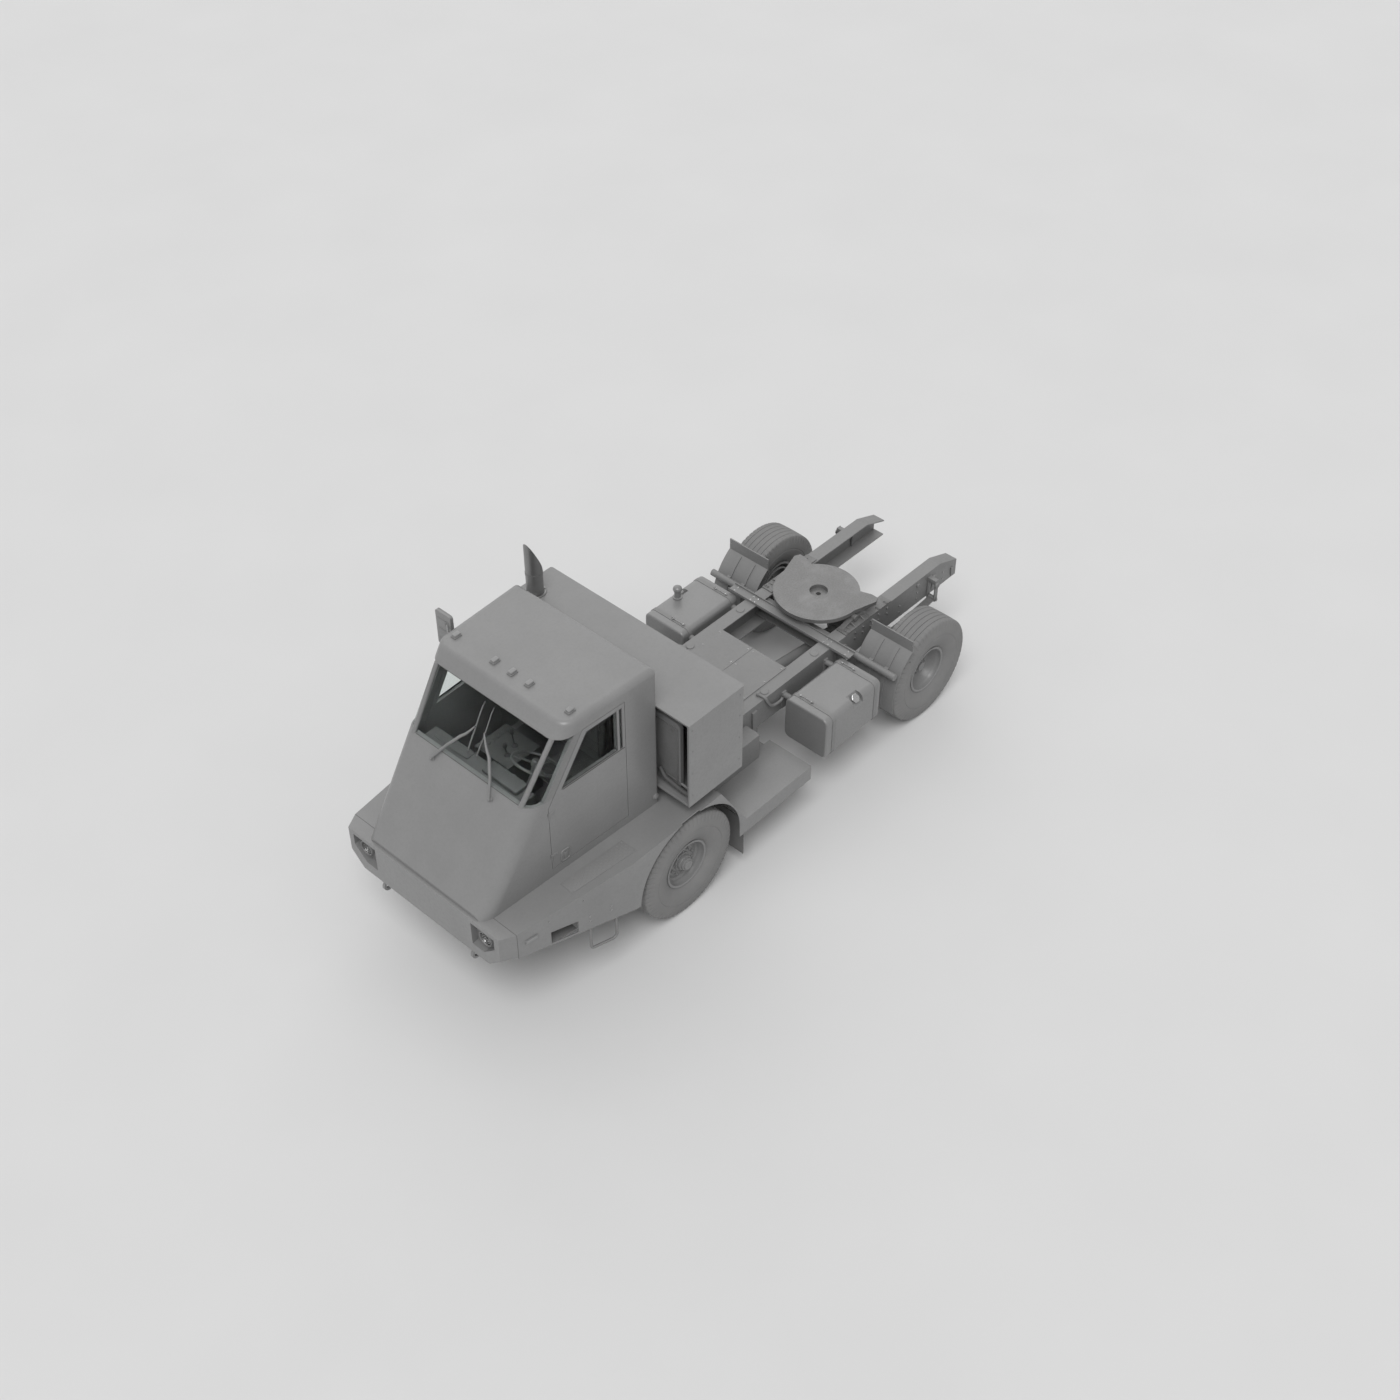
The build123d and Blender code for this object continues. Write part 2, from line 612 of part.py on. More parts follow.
# Screen frame: the door pillars and the two round bars beside the main pane
BAR_BOTTOM_Z = NOSE_TOP_Z
BAR_IN = GLASS_INSET + GLASS_T / 2


def bar_ends(side, reach=0):
    """Two points on a screen bar's axis, with a reach past each end."""
    low = Vector(screen_x(BAR_BOTTOM_Z, BAR_IN), side * BAR_Y_BOTTOM, BAR_BOTTOM_Z)
    high = Vector(screen_x(ROOF_SEAM_Z, BAR_IN), side * BAR_Y_TOP, ROOF_SEAM_Z)
    along = (high - low).normalized() * reach
    return low - along, high + along


with BuildPart() as screen_bars:
    for side in (1, -1):
        low, high = bar_ends(side, 60)
        rod(tuple(low), tuple(high), BAR_R)
    slab((CAB_REAR_X, NOSE_X), (-FAR, FAR), (NOSE_TOP_Z, ROOF_SEAM_Z), mode=Mode.INTERSECT)

with BuildPart() as screen_frame:
    add(cab_shell.part)
    side_prism([(screen_x(NOSE_TOP_Z, PILLAR_BACK), NOSE_TOP_Z), (screen_x(NOSE_TOP_Z, SCREEN_WRAP), NOSE_TOP_Z),
                (screen_x(ROOF_SEAM_Z, SCREEN_WRAP), ROOF_SEAM_Z),
                (screen_x(ROOF_SEAM_Z, PILLAR_BACK), ROOF_SEAM_Z)], (-FAR, FAR), mode=Mode.INTERSECT)
    add(screen_bars.part)
screen_frame.part.label = "screen_frame"
export_step(screen_frame.part, "parts/screen_frame.step")

with BuildPart() as cab_glass:
    add(glass_shell.part)
    g = SEAT_GAP
    side_prism([(screen_x(NOSE_TOP_Z, SCREEN_WRAP) + 2 * g, NOSE_TOP_Z + g), (NOSE_X, NOSE_TOP_Z + g),
                (NOSE_X, ROOF_SEAM_Z - g), (screen_x(ROOF_SEAM_Z, SCREEN_WRAP) + 2 * g, ROOF_SEAM_Z - g)],
               (-FAR, FAR), mode=Mode.INTERSECT)
    for side in (1, -1):
        low, high = bar_ends(side, 90)
        rod(tuple(low), tuple(high), BAR_R + g, mode=Mode.SUBTRACT)
    slab((CAB_REAR_X + GLASS_INSET, CAB_REAR_X + GLASS_INSET + GLASS_T), (g - BACK_WINDOW_Y, BACK_WINDOW_Y - g),
         (BACK_WINDOW_Z[0] + g, BACK_WINDOW_Z[1] - g))
cab_glass.part.label = "cab_glass"
export_step(cab_glass.part, "parts/cab_glass.step")

WINDOW_IN = PILLAR_BACK + DOOR_FRAME_W


def window_outline(g):
    """The main pane's opening in a door, made smaller by g."""
    return [(DIVIDER_X[1] + g, WINDOW_BOTTOM_Z + g),
            (screen_x(WINDOW_BOTTOM_Z, WINDOW_IN) - 2 * g, WINDOW_BOTTOM_Z + g),
            (screen_x(WINDOW_TOP_Z, WINDOW_IN) - 2 * g, WINDOW_TOP_Z - g), (DIVIDER_X[1] + g, WINDOW_TOP_Z - g)]


def door_region():
    """The door's outline in X and Z, with the seam round it."""
    return [(DOOR_REAR_X, DOOR_BOTTOM_Z), (DOOR_FRONT_X - SEAM, DOOR_BOTTOM_Z),
            (DOOR_FRONT_X - SEAM, DOOR_KNEE_Z - SEAM),
            (screen_x(ROOF_SEAM_Z - SEAM, PILLAR_BACK + SEAM), ROOF_SEAM_Z - SEAM),
            (DOOR_REAR_X, ROOF_SEAM_Z - SEAM)]


for side, suffix in ((1, "l"), (-1, "r")):
    near = (0, side * FAR)
    with BuildPart() as door:
        add(cab_shell.part)
        side_prism(door_region(), near, mode=Mode.INTERSECT)
        side_prism(window_outline(0), near, mode=Mode.SUBTRACT)
        slab((WINDOW_REAR_X, DIVIDER_X[0]), near, (WINDOW_BOTTOM_Z, WINDOW_TOP_Z), mode=Mode.SUBTRACT)
        x, y = hinge_axis(side)
        for z in HINGE_HEIGHTS:
            rod((x, y, z - HINGE_H - SEAM), (x, y, z + SEAT_GAP), HINGE_R + SEAM, mode=Mode.SUBTRACT)
            rod((x, y, z + SEAT_GAP), (x, y, z + HINGE_H), HINGE_R)
            rod((x, y, z - 1), (x, y, z + HINGE_H + 1), HINGE_PIN_R + RUN_GAP, mode=Mode.SUBTRACT)
    door.part.label = "door_" + suffix
    export_step(door.part, f"parts/door_{suffix}.step")

    with BuildPart() as door_glass:
        side_prism(window_outline(SEAT_GAP), near)
        slab((WINDOW_REAR_X + SEAT_GAP, DIVIDER_X[0] - SEAT_GAP), near,
             (WINDOW_BOTTOM_Z + SEAT_GAP, WINDOW_TOP_Z - SEAT_GAP))
        add(glass_shell.part, mode=Mode.INTERSECT)
    door_glass.part.label = "door_glass_" + suffix
    export_step(door_glass.part, f"parts/door_glass_{suffix}.step")

# Mirror on the right door, on two bent arms
MIRROR_X = 2200
MIRROR_Y = (-1100, -900)
MIRROR_Z = (2600, 3000)
MIRROR_T = 30
ARM_R = 10
with BuildPart() as mirror_unit:
    slab((MIRROR_X, MIRROR_X + MIRROR_T), MIRROR_Y, MIRROR_Z)
    fillet(mirror_unit.edges().filter_by(Axis.X), 22)
    arm_y = MIRROR_Y[1] - 60
    for z_mirror, x_door, z_door in ((2640, 2396, 2590), (2900, 2290, 2785)):
        seat_y = -cab_y(x_door - 16) - SEAT_GAP
        rod((x_door, seat_y, z_door), (x_door, seat_y - 40, z_door), 16)
        rod((x_door, seat_y - 30, z_door), (MIRROR_X + MIRROR_T - 5, arm_y, z_mirror), ARM_R)
mirror_unit.part.label = "mirror"
export_step(mirror_unit.part, "parts/mirror.step")

# Wipers: pivot, arm and blade in one, laid on the sloped front
SCREEN_PLANE = Plane(origin=(NOSE_X, 0, NOSE_Z), x_dir=(0, 1, 0), z_dir=(sin(SCREEN_SLOPE), 0, cos(SCREEN_SLOPE)))


def on_screen(across, up, out):
    """A point at a distance across, up along and out from the sloped front."""
    return tuple(SCREEN_PLANE.from_local_coords((across, up, out)))


PIVOT_ACROSS = 375
PIVOT_UP = 1008
with BuildPart() as wipers:
    for side in (1, -1):
        rod(on_screen(side * PIVOT_ACROSS, PIVOT_UP, SEAT_GAP), on_screen(side * PIVOT_ACROSS, PIVOT_UP, 52), 17)
        rod(on_screen(side * PIVOT_ACROSS, PIVOT_UP, 40), on_screen(side * 66, 1500, 40), 10)
        rod(on_screen(side * 66, 1500, 45), on_screen(side * 55, 1500, 14), 8)
        rod(on_screen(side * 38, 1200, 16), on_screen(side * 64, 1740, 16), 9)
wipers.part.label = "wipers"
export_step(wipers.part, "parts/wipers.step")

# Cab inside: a dash shelf, a console box, a steering wheel and a seat
with BuildPart() as cab_interior:
    back = DASH_X
    side_prism([(back, DASH_Z - 70), (back, DASH_Z), (screen_x(DASH_Z, WALL + SEAT_GAP), DASH_Z),
                (screen_x(DASH_Z - 130, WALL + SEAT_GAP), DASH_Z - 130), (back + 90, DASH_Z - 130)],
               (-DASH_Y, DASH_Y))
    slab(CONSOLE_X, CONSOLE_Y, (FLOOR_Z, CONSOLE_Z))
cab_interior.part.label = "cab_interior"
export_step(cab_interior.part, "parts/cab_interior.step")

column_run = Vector(WHEEL_CENTRE[0] - COLUMN_FOOT_X, 0, WHEEL_CENTRE[2] - FLOOR_Z)
with BuildPart() as steering_wheel:
    rod((COLUMN_FOOT_X, SEAT_Y, FLOOR_Z + 20), WHEEL_CENTRE, 24)
    slab((COLUMN_FOOT_X - 60, COLUMN_FOOT_X + 50), (SEAT_Y - 45, SEAT_Y + 45), (FLOOR_Z, FLOOR_Z + 90))
    rim_plane = Plane(origin=WHEEL_CENTRE, x_dir=(0, 1, 0), z_dir=column_run)
    with Locations(rim_plane.location):
        Torus(WHEEL_R, WHEEL_RIM_R)
        Cylinder(45, 40)
        with PolarLocations(WHEEL_R / 2, 3, start_angle=90):
            Box(WHEEL_R, 34, 12)
steering_wheel.part.label = "steering_wheel"
export_step(steering_wheel.part, "parts/steering_wheel.step")

with BuildPart() as seat_frame:
    slab((SEAT_X - 170, SEAT_X + 170), (SEAT_Y - 170, SEAT_Y + 170), (FLOOR_Z, FLOOR_Z + 40))
    slab((SEAT_X - 130, SEAT_X + 130), (SEAT_Y - 130, SEAT_Y + 130), (FLOOR_Z, SEAT_Z - 30))
    slab((SEAT_X - SEAT_D / 2, SEAT_X + SEAT_D / 2), (SEAT_Y - SEAT_W / 2, SEAT_Y + SEAT_W / 2), (SEAT_Z - 30, SEAT_Z))
    slab((SEAT_X - SEAT_D / 2 - 30, SEAT_X - SEAT_D / 2), (SEAT_Y - SEAT_W / 2, SEAT_Y + SEAT_W / 2),
         (SEAT_Z - 30, SEAT_Z + CUSHION_T + BACK_H))
seat_frame.part.label = "seat_frame"
export_step(seat_frame.part, "parts/seat_frame.step")

with BuildPart() as seat_cushion:
    slab((SEAT_X - SEAT_D / 2 + SEAT_GAP, SEAT_X + SEAT_D / 2), (SEAT_Y - SEAT_W / 2, SEAT_Y + SEAT_W / 2),
         (SEAT_Z + SEAT_GAP, SEAT_Z + CUSHION_T))
    fillet(seat_cushion.edges().filter_by(Axis.Z), 40)
seat_cushion.part.label = "seat_cushion"
export_step(seat_cushion.part, "parts/seat_cushion.step")

with BuildPart() as seat_back:
    slab((SEAT_X - SEAT_D / 2 + SEAT_GAP, SEAT_X - SEAT_D / 2 + BACK_T), (SEAT_Y - SEAT_W / 2, SEAT_Y + SEAT_W / 2),
         (SEAT_Z + CUSHION_T + SEAT_GAP, SEAT_Z + CUSHION_T + BACK_H))
    fillet(seat_back.edges().filter_by(Axis.X), 50)
seat_back.part.label = "seat_back"
export_step(seat_back.part, "parts/seat_back.step")

# Housing: a full-width sheet box behind the cab, open at the front, with the radiator inside
with BuildPart() as housing:
    slab(HOUSING_X, (-HOUSING_Y, HOUSING_Y), HOUSING_Z)
    fillet(housing.edges().filter_by(Axis.Z).group_by(Axis.X)[0], 25)
    slab((HOUSING_X[0] + HOUSING_T, HOUSING_X[1] + 1), (HOUSING_T - HOUSING_Y, HOUSING_Y - HOUSING_T),
         (HOUSING_Z[0] + HOUSING_T, HOUSING_Z[1] - HOUSING_T), mode=Mode.SUBTRACT)
housing.part.label = "housing"
export_step(housing.part, "parts/housing.step")

with BuildPart() as radiator:
    slab(RADIATOR_X, (-RADIATOR_Y, RADIATOR_Y), (HOUSING_Z[0] + HOUSING_T, RADIATOR_TOP))
    fillet(radiator.edges().filter_by(Axis.X), 60)
    for side in (1, -1):
        slab((RADIATOR_X[0], RADIATOR_X[1]), (side * 700, side * 760), (HOUSING_Z[0] + HOUSING_T, HOUSING_Z[0] + 120))
        rod((RADIATOR_X[1] - 15, side * (RADIATOR_Y - 20), 1530), (RADIATOR_X[1] - 15, side * (HOUSING_Y - HOUSING_T - 3), 1500), 14)
radiator.part.label = "radiator"
export_step(radiator.part, "parts/radiator.step")

# Exhaust stack on the right of the housing, its mouth cut on a slant
with BuildPart() as exhaust_stack:
    base = (STACK_X, STACK_Y, HOUSING_Z[1])
    rod(base, (STACK_X, STACK_Y, STACK_TOP), STACK_R)
    rod((STACK_X, STACK_Y, HOUSING_Z[1] + 40), (STACK_X, STACK_Y, STACK_TOP + 1), STACK_R - STACK_WALL,
        mode=Mode.SUBTRACT)
    rod(base, (STACK_X, STACK_Y, HOUSING_Z[1] + 16), STACK_R + 25)
    CUT_RISE = 190
    side_prism([(STACK_X - STACK_R - 10, STACK_TOP - CUT_RISE), (STACK_X + STACK_R + 10, STACK_TOP + 10),
                (STACK_X - STACK_R - 10, STACK_TOP + 10)], (STACK_Y - 150, STACK_Y + 150), mode=Mode.SUBTRACT)
exhaust_stack.part.label = "exhaust_stack"
export_step(exhaust_stack.part, "parts/exhaust_stack.step")

# Battery boxes on the inner edge of the platforms
with BuildPart() as side_boxes:
    for side in (1, -1):
        slab(SIDE_BOX_X, (side * (RAIL_Y + BRACKET_T), side * SIDE_BOX_Y[1]), (PLATFORM_Z, SIDE_BOX_TOP))
    fillet(side_boxes.edges().filter_by(Axis.Z), 15)
side_boxes.part.label = "side_boxes"
export_step(side_boxes.part, "parts/side_boxes.step")

# Engine and gearbox: one plain block, hung from the rails on two beams
with BuildPart() as engine_gearbox:
    slab(ENGINE_X, (-ENGINE_Y, ENGINE_Y), ENGINE_Z)
    slab(GEARBOX_X, (-GEARBOX_Y, GEARBOX_Y), GEARBOX_Z)
    for x in (600, -700):
        slab((x - 40, x + 40), (-WEB_IN_Y, WEB_IN_Y), (860, 930))
    rod((GEARBOX_X[0], SHAFT_Y, 760), (GEARBOX_X[0] - 60, SHAFT_Y, 760), 80)
engine_gearbox.part.label = "engine_gearbox"
export_step(engine_gearbox.part, "parts/engine_gearbox.step")

# Cover plates over the gearbox, with a seam along the middle
with BuildPart() as cover_plates:
    for y in ((-COVER_Y, -2), (2, COVER_Y)):
        slab(COVER_X, y, (RAIL_TOP, RAIL_TOP + COVER_T))
cover_plates.part.label = "cover_plates"
export_step(cover_plates.part, "parts/cover_plates.step")

# Propeller shaft with its joints, from the gearbox down to the rear axle
SHAFT_FRONT = (GEARBOX_X[0] - 60, SHAFT_Y, 760)
SHAFT_REAR = (REAR_AXLE_X + 290, SHAFT_Y, 610)
with BuildPart() as propshaft:
    run = (Vector(*SHAFT_REAR) - Vector(*SHAFT_FRONT)).normalized()
    first = Vector(*SHAFT_FRONT) + run * 80
    last = Vector(*SHAFT_REAR) - run * 80
    rod(tuple(first), tuple(last), SHAFT_R)
    for end, inner in ((Vector(*SHAFT_FRONT) + run * 8, first + run * 20), (Vector(*SHAFT_REAR) - run * 8, last - run * 20)):
        rod(tuple(end), tuple(inner), 36)
    slab((SHAFT_FRONT[0] - 16, SHAFT_FRONT[0]), (SHAFT_Y - 60, SHAFT_Y + 60), (700, 820))
    slab((SHAFT_REAR[0], SHAFT_REAR[0] + 16), (SHAFT_Y - 60, SHAFT_Y + 60), (550, 670))
propshaft.part.label = "propshaft"
export_step(propshaft.part, "parts/propshaft.step")


def spring(x, y, top_z, half_span, sag, hanger_top, hanger_y):
    """A leaf pack with its eyes, axle clamp and two hangers."""
    pack = LEAVES * LEAF_T
    radius = (half_span ** 2 + sag ** 2) / (2 * sag)
    centre_z = top_z + radius
    for i in range(LEAVES):
        reach = half_span * (1 - 0.17 * i)
        half_angle = asin(reach / radius)
        inner = radius + i * LEAF_T
        outer = inner + LEAF_T
        with BuildSketch(Plane.XZ.offset(-(y + SPRING_W / 2))) as leaf:
            with BuildLine():
                ends = []
                for r in (inner, outer):
                    points = [(x + r * sin(a), centre_z - r * cos(a)) for a in (-half_angle, 0, half_angle)]
                    ThreePointArc(*points)
                    ends.append((points[0], points[2]))
                Line(ends[0][0], ends[1][0])
                Line(ends[0][1], ends[1][1])
            make_face()
        extrude(leaf.sketch, amount=SPRING_W)
    for end in (-1, 1):
        eye = (x + end * (half_span + 20), top_z + sag - 8)
        cross_pin(eye[0], (y - SPRING_W / 2, y + SPRING_W / 2), eye[1], 30)
        slab((eye[0] - 38, eye[0] + 38), hanger_y, (eye[1], hanger_top))
    slab((x - 75, x + 75), (y - SPRING_W / 2 - 12, y + SPRING_W / 2 + 12), (top_z - pack, top_z + 18))


FRONT_SPRING_TOP = TYRE_R + 90
REAR_SPRING_TOP = TYRE_R + REAR_TUBE_R + LEAVES * LEAF_T
with BuildPart() as springs:
    for side in (1, -1):
        y = side * FRONT_SPRING_Y
        spring(FRONT_AXLE_X, y, FRONT_SPRING_TOP, 560, 50, RAIL_BOTTOM, (y - SPRING_W / 2, y + SPRING_W / 2))
        y = side * REAR_SPRING_Y
        spring(REAR_AXLE_X, y, REAR_SPRING_TOP, 760, 40, RAIL_TOP - 60,
               (side * RAIL_Y, side * (REAR_SPRING_Y + SPRING_W / 2)))
springs.part.label = "springs"
export_step(springs.part, "parts/springs.step")

# Front axle: a beam that rises to a boss at each kingpin
BEAM_TOP = FRONT_SPRING_TOP - LEAVES * LEAF_T
with BuildPart() as front_axle:
    xs = (FRONT_AXLE_X - FRONT_BEAM[0] / 2, FRONT_AXLE_X + FRONT_BEAM[0] / 2)
    beam_low = BEAM_TOP - FRONT_BEAM[1]
    boss = (TYRE_R - KINGPIN_BOSS_H / 2, TYRE_R + KINGPIN_BOSS_H / 2)
    slab(xs, (-620, 620), (beam_low, BEAM_TOP))
    for side in (1, -1):
        with BuildSketch(Plane.YZ.offset(xs[0])):
            with BuildLine():
                Polyline((side * 600, beam_low), (side * 600, BEAM_TOP), (side * KINGPIN_Y, boss[1] - 10),
                         (side * KINGPIN_Y, boss[0] + 10), (side * 780, boss[0] + 10), close=True)
            make_face()
        extrude(amount=FRONT_BEAM[0])
        rod((FRONT_AXLE_X, side * KINGPIN_Y, boss[0]), (FRONT_AXLE_X, side * KINGPIN_Y, boss[1]), KINGPIN_BOSS_R)
        rod((FRONT_AXLE_X, side * KINGPIN_Y, boss[0] - 5), (FRONT_AXLE_X, side * KINGPIN_Y, boss[1] + 5),
            KINGPIN_R + RUN_GAP, mode=Mode.SUBTRACT)
front_axle.part.label = "front_axle"
export_step(front_axle.part, "parts/front_axle.step")

# Knuckles: a fork round each boss with the kingpin, the spindle and the steering arm
FORK_T = 35
FORK_R = 48
FORK_GAP = 5
SPINDLE_IN_Y = 940
SPINDLE_OUT_Y = 1120
ARM_LENGTH = 140
ARM_W = 50
ARM_BALL_X = FRONT_AXLE_X - ARM_LENGTH
ARM_Z = (TYRE_R - KINGPIN_BOSS_H / 2 - FORK_GAP - FORK_T, TYRE_R - KINGPIN_BOSS_H / 2 - FORK_GAP)
for side, suffix in ((1, "l"), (-1, "r")):
    with BuildPart() as knuckle:
        fork_out = KINGPIN_BOSS_H / 2 + FORK_GAP
        for end in (1, -1):
            z = TYRE_R + end * fork_out
            rod((FRONT_AXLE_X, side * KINGPIN_Y, z), (FRONT_AXLE_X, side * KINGPIN_Y, z + end * FORK_T), FORK_R)
            slab((FRONT_AXLE_X - FORK_R, FRONT_AXLE_X + FORK_R), (side * KINGPIN_Y, side * SPINDLE_IN_Y),
                 (z, z + end * FORK_T))
        slab((FRONT_AXLE_X - FORK_R, FRONT_AXLE_X + FORK_R), (side * (SPINDLE_IN_Y - 8), side * SPINDLE_IN_Y),
             (TYRE_R - fork_out - FORK_T, TYRE_R + fork_out + FORK_T))
        rod((FRONT_AXLE_X, side * KINGPIN_Y, TYRE_R - fork_out - 1), (FRONT_AXLE_X, side * KINGPIN_Y, TYRE_R + fork_out + 1),
            KINGPIN_R)
        rod((FRONT_AXLE_X, side * (SPINDLE_IN_Y - 1), TYRE_R), (FRONT_AXLE_X, side * SPINDLE_OUT_Y, TYRE_R), FRONT_SPINDLE_R)
        slab((ARM_BALL_X - ARM_W / 2, FRONT_AXLE_X), (side * KINGPIN_Y - ARM_W / 2, side * KINGPIN_Y + ARM_W / 2), ARM_Z)
    knuckle.part.label = "knuckle_" + suffix
    export_step(knuckle.part, f"parts/knuckle_{suffix}.step")

# Tie rod: joins the two steering arms, its ends just under them
with BuildPart() as tie_rod:
    TIE_R = 15
    TIE_END_R = 20
    TIE_END_H = 18
    tie_top = ARM_Z[0] - SEAT_GAP
    tie_z = tie_top - 25
    cross_pin(ARM_BALL_X, (-KINGPIN_Y, KINGPIN_Y), tie_z, TIE_R)
    for side in (1, -1):
        rod((ARM_BALL_X, side * KINGPIN_Y, tie_z - TIE_END_H), (ARM_BALL_X, side * KINGPIN_Y, tie_top), TIE_END_R)
tie_rod.part.label = "tie_rod"
export_step(tie_rod.part, "parts/tie_rod.step")

# Rear axle: tube, bowl with the pinion nose, and spindles
with BuildPart() as rear_axle:
    cross_pin(REAR_AXLE_X, (-880, 880), TYRE_R, REAR_TUBE_R)
    cross_pin(REAR_AXLE_X, (-1120, 1120), TYRE_R, REAR_SPINDLE_R)
    with Locations((REAR_AXLE_X, SHAFT_Y, TYRE_R)):
        Sphere(195)
    rod((REAR_AXLE_X, SHAFT_Y, TYRE_R), (SHAFT_REAR[0], SHAFT_Y, TYRE_R), 80)
rear_axle.part.label = "rear_axle"
export_step(rear_axle.part, "parts/rear_axle.step")

# Wheels: name, axle x, side, disc offset from the tyre's middle, spindle radius, cap reach, hub radius
WHEELS = [("fl", FRONT_AXLE_X, 1, 60, FRONT_SPINDLE_R, 185, 92), ("fr", FRONT_AXLE_X, -1, 60, FRONT_SPINDLE_R, 185, 92),
          ("rl", REAR_AXLE_X, 1, -20, REAR_SPINDLE_R, 110, 105), ("rr", REAR_AXLE_X, -1, -20, REAR_SPINDLE_R, 110, 105)]
for name, axle_x, side, disc, spindle, reach, hub_r in WHEELS:
    wheel_plane = Plane(origin=(axle_x, side * TYRE_Y, TYRE_R), x_dir=(0, side, 0), z_dir=(side, 0, 0))
    wheel_axis = Axis((axle_x, 0, TYRE_R), (0, 1, 0))
    with BuildPart() as tyre:
        with BuildSketch(wheel_plane):
            with BuildLine():
                half = TYRE_W / 2
                bead = BEAD_W / 2
                tread = TREAD_W / 2
                bulge_r = 425
                shoulder_r = TYRE_R - SHOULDER_DROP
                crown = TYRE_R - 4
                Line((-bead, BEAD_R), (bead, BEAD_R))
                Line((bead, BEAD_R), (bead, RIM_FLANGE_R + 2))
                ThreePointArc((bead, RIM_FLANGE_R + 2), (half, bulge_r), (tread + 12, shoulder_r - 30))
                Line((tread + 12, shoulder_r - 30), (tread, crown))
                ThreePointArc((tread, crown), (0, TYRE_R), (-tread, crown))
                Line((-tread, crown), (-tread - 12, shoulder_r - 30))
                ThreePointArc((-tread - 12, shoulder_r - 30), (-half, bulge_r), (-bead, RIM_FLANGE_R + 2))
                Line((-bead, RIM_FLANGE_R + 2), (-bead, BEAD_R))
            make_face()
        revolve(axis=wheel_axis)
    tyre.part.label = "tyre_" + name
    export_step(tyre.part, f"parts/tyre_{name}.step")

    with BuildPart() as rim:
        bead = BEAD_W / 2 + SEAT_GAP
        barrel_r = BEAD_R - SEAT_GAP
        # rows: inner and outer edge across the wheel, inner and outer radius
        rings = [(-bead - RIM_FLANGE_T, bead + RIM_FLANGE_T, barrel_r - RIM_T, barrel_r),
                 (bead, bead + RIM_FLANGE_T, barrel_r - RIM_T, RIM_FLANGE_R),
                 (-bead - RIM_FLANGE_T, -bead, barrel_r - RIM_T, RIM_FLANGE_R),
                 (disc, disc + 14, spindle + RUN_GAP, barrel_r - 2),
                 (disc - 60, disc + 45, spindle + RUN_GAP, hub_r),
                 (disc - 14, disc, spindle + RUN_GAP, DRUM_R),
                 (disc - 130, disc, DRUM_R - 14, DRUM_R)]
        with BuildSketch(wheel_plane):
            for w0, w1, r0, r1 in rings:
                with Locations(((w0 + w1) / 2, (r0 + r1) / 2)):
                    Rectangle(w1 - w0, r1 - r0)
            cap_in = SPINDLE_OUT_Y - TYRE_Y + 4
            with Locations(((disc + 40 + cap_in) / 2, (spindle + RUN_GAP + hub_r - 25) / 2)):
                Rectangle(cap_in - disc - 40, hub_r - 25 - spindle - RUN_GAP)
            with Locations(((cap_in + reach) / 2, (hub_r - 25) / 2)):
                Rectangle(reach - cap_in, hub_r - 25)
        revolve(axis=wheel_axis)
        face_plane = Plane(origin=(axle_x, side * (TYRE_Y + disc + 14), TYRE_R), z_dir=(0, side, 0))
        with BuildSketch(face_plane):
            with PolarLocations(STUD_CIRCLE_R, STUDS):
                Circle(STUD_R)
        extrude(amount=30)
    rim.part.label = "rim_" + name
    export_step(rim.part, f"parts/rim_{name}.step")


def tank_outline(grow):
    """The tank's rounded section in Y and Z, made larger by grow."""
    mid_y = (TANK_Y[0] + TANK_Y[1]) / 2
    mid_z = (TANK_Z[0] + TANK_Z[1]) / 2
    with Locations((mid_y, mid_z)):
        RectangleRounded(TANK_Y[1] - TANK_Y[0] + 2 * grow, TANK_Z[1] - TANK_Z[0] + 2 * grow, TANK_R + grow)


# Tanks on both sides, between the platform and the rear wheel
with BuildPart() as tanks:
    with BuildSketch(Plane.YZ.offset(TANK_X[0])):
        tank_outline(-STRAP_T)
    extrude(amount=TANK_X[1] - TANK_X[0])
    fillet(tanks.faces().sort_by(Axis.X)[-1].edges(), 20)
    fillet(tanks.faces().sort_by(Axis.X)[0].edges(), 20)
    end_prism([(CAP_NECK_Y, CAP_NECK_Z), (CAP_NECK_Y - 100, CAP_NECK_Z + 100), (CAP_NECK_Y + 100, CAP_NECK_Z + 100),
               (CAP_NECK_Y + 100, CAP_NECK_Z - 100)], (CAP_X - 75, CAP_X + 75), mode=Mode.SUBTRACT)
    rod((CAP_X, CAP_NECK_Y - 10, CAP_NECK_Z - 10), (CAP_X, CAP_NECK_Y + 10, CAP_NECK_Z + 10), CAP_R - 12)
    mirror(about=Plane.XZ)
tanks.part.label = "tanks"
export_step(tanks.part, "parts/tanks.step")

with BuildPart() as tank_caps:
    lean = Vector(0, 1, 1).normalized()
    seat = Vector(CAP_X, CAP_NECK_Y + 10, CAP_NECK_Z + 10) + lean * SEAT_GAP
    with BuildSketch(Plane(origin=tuple(seat), z_dir=tuple(lean))):
        RegularPolygon(CAP_R, 6)
    extrude(amount=26)
    mirror(about=Plane.XZ)
tank_caps.part.label = "tank_caps"
export_step(tank_caps.part, "parts/tank_caps.step")

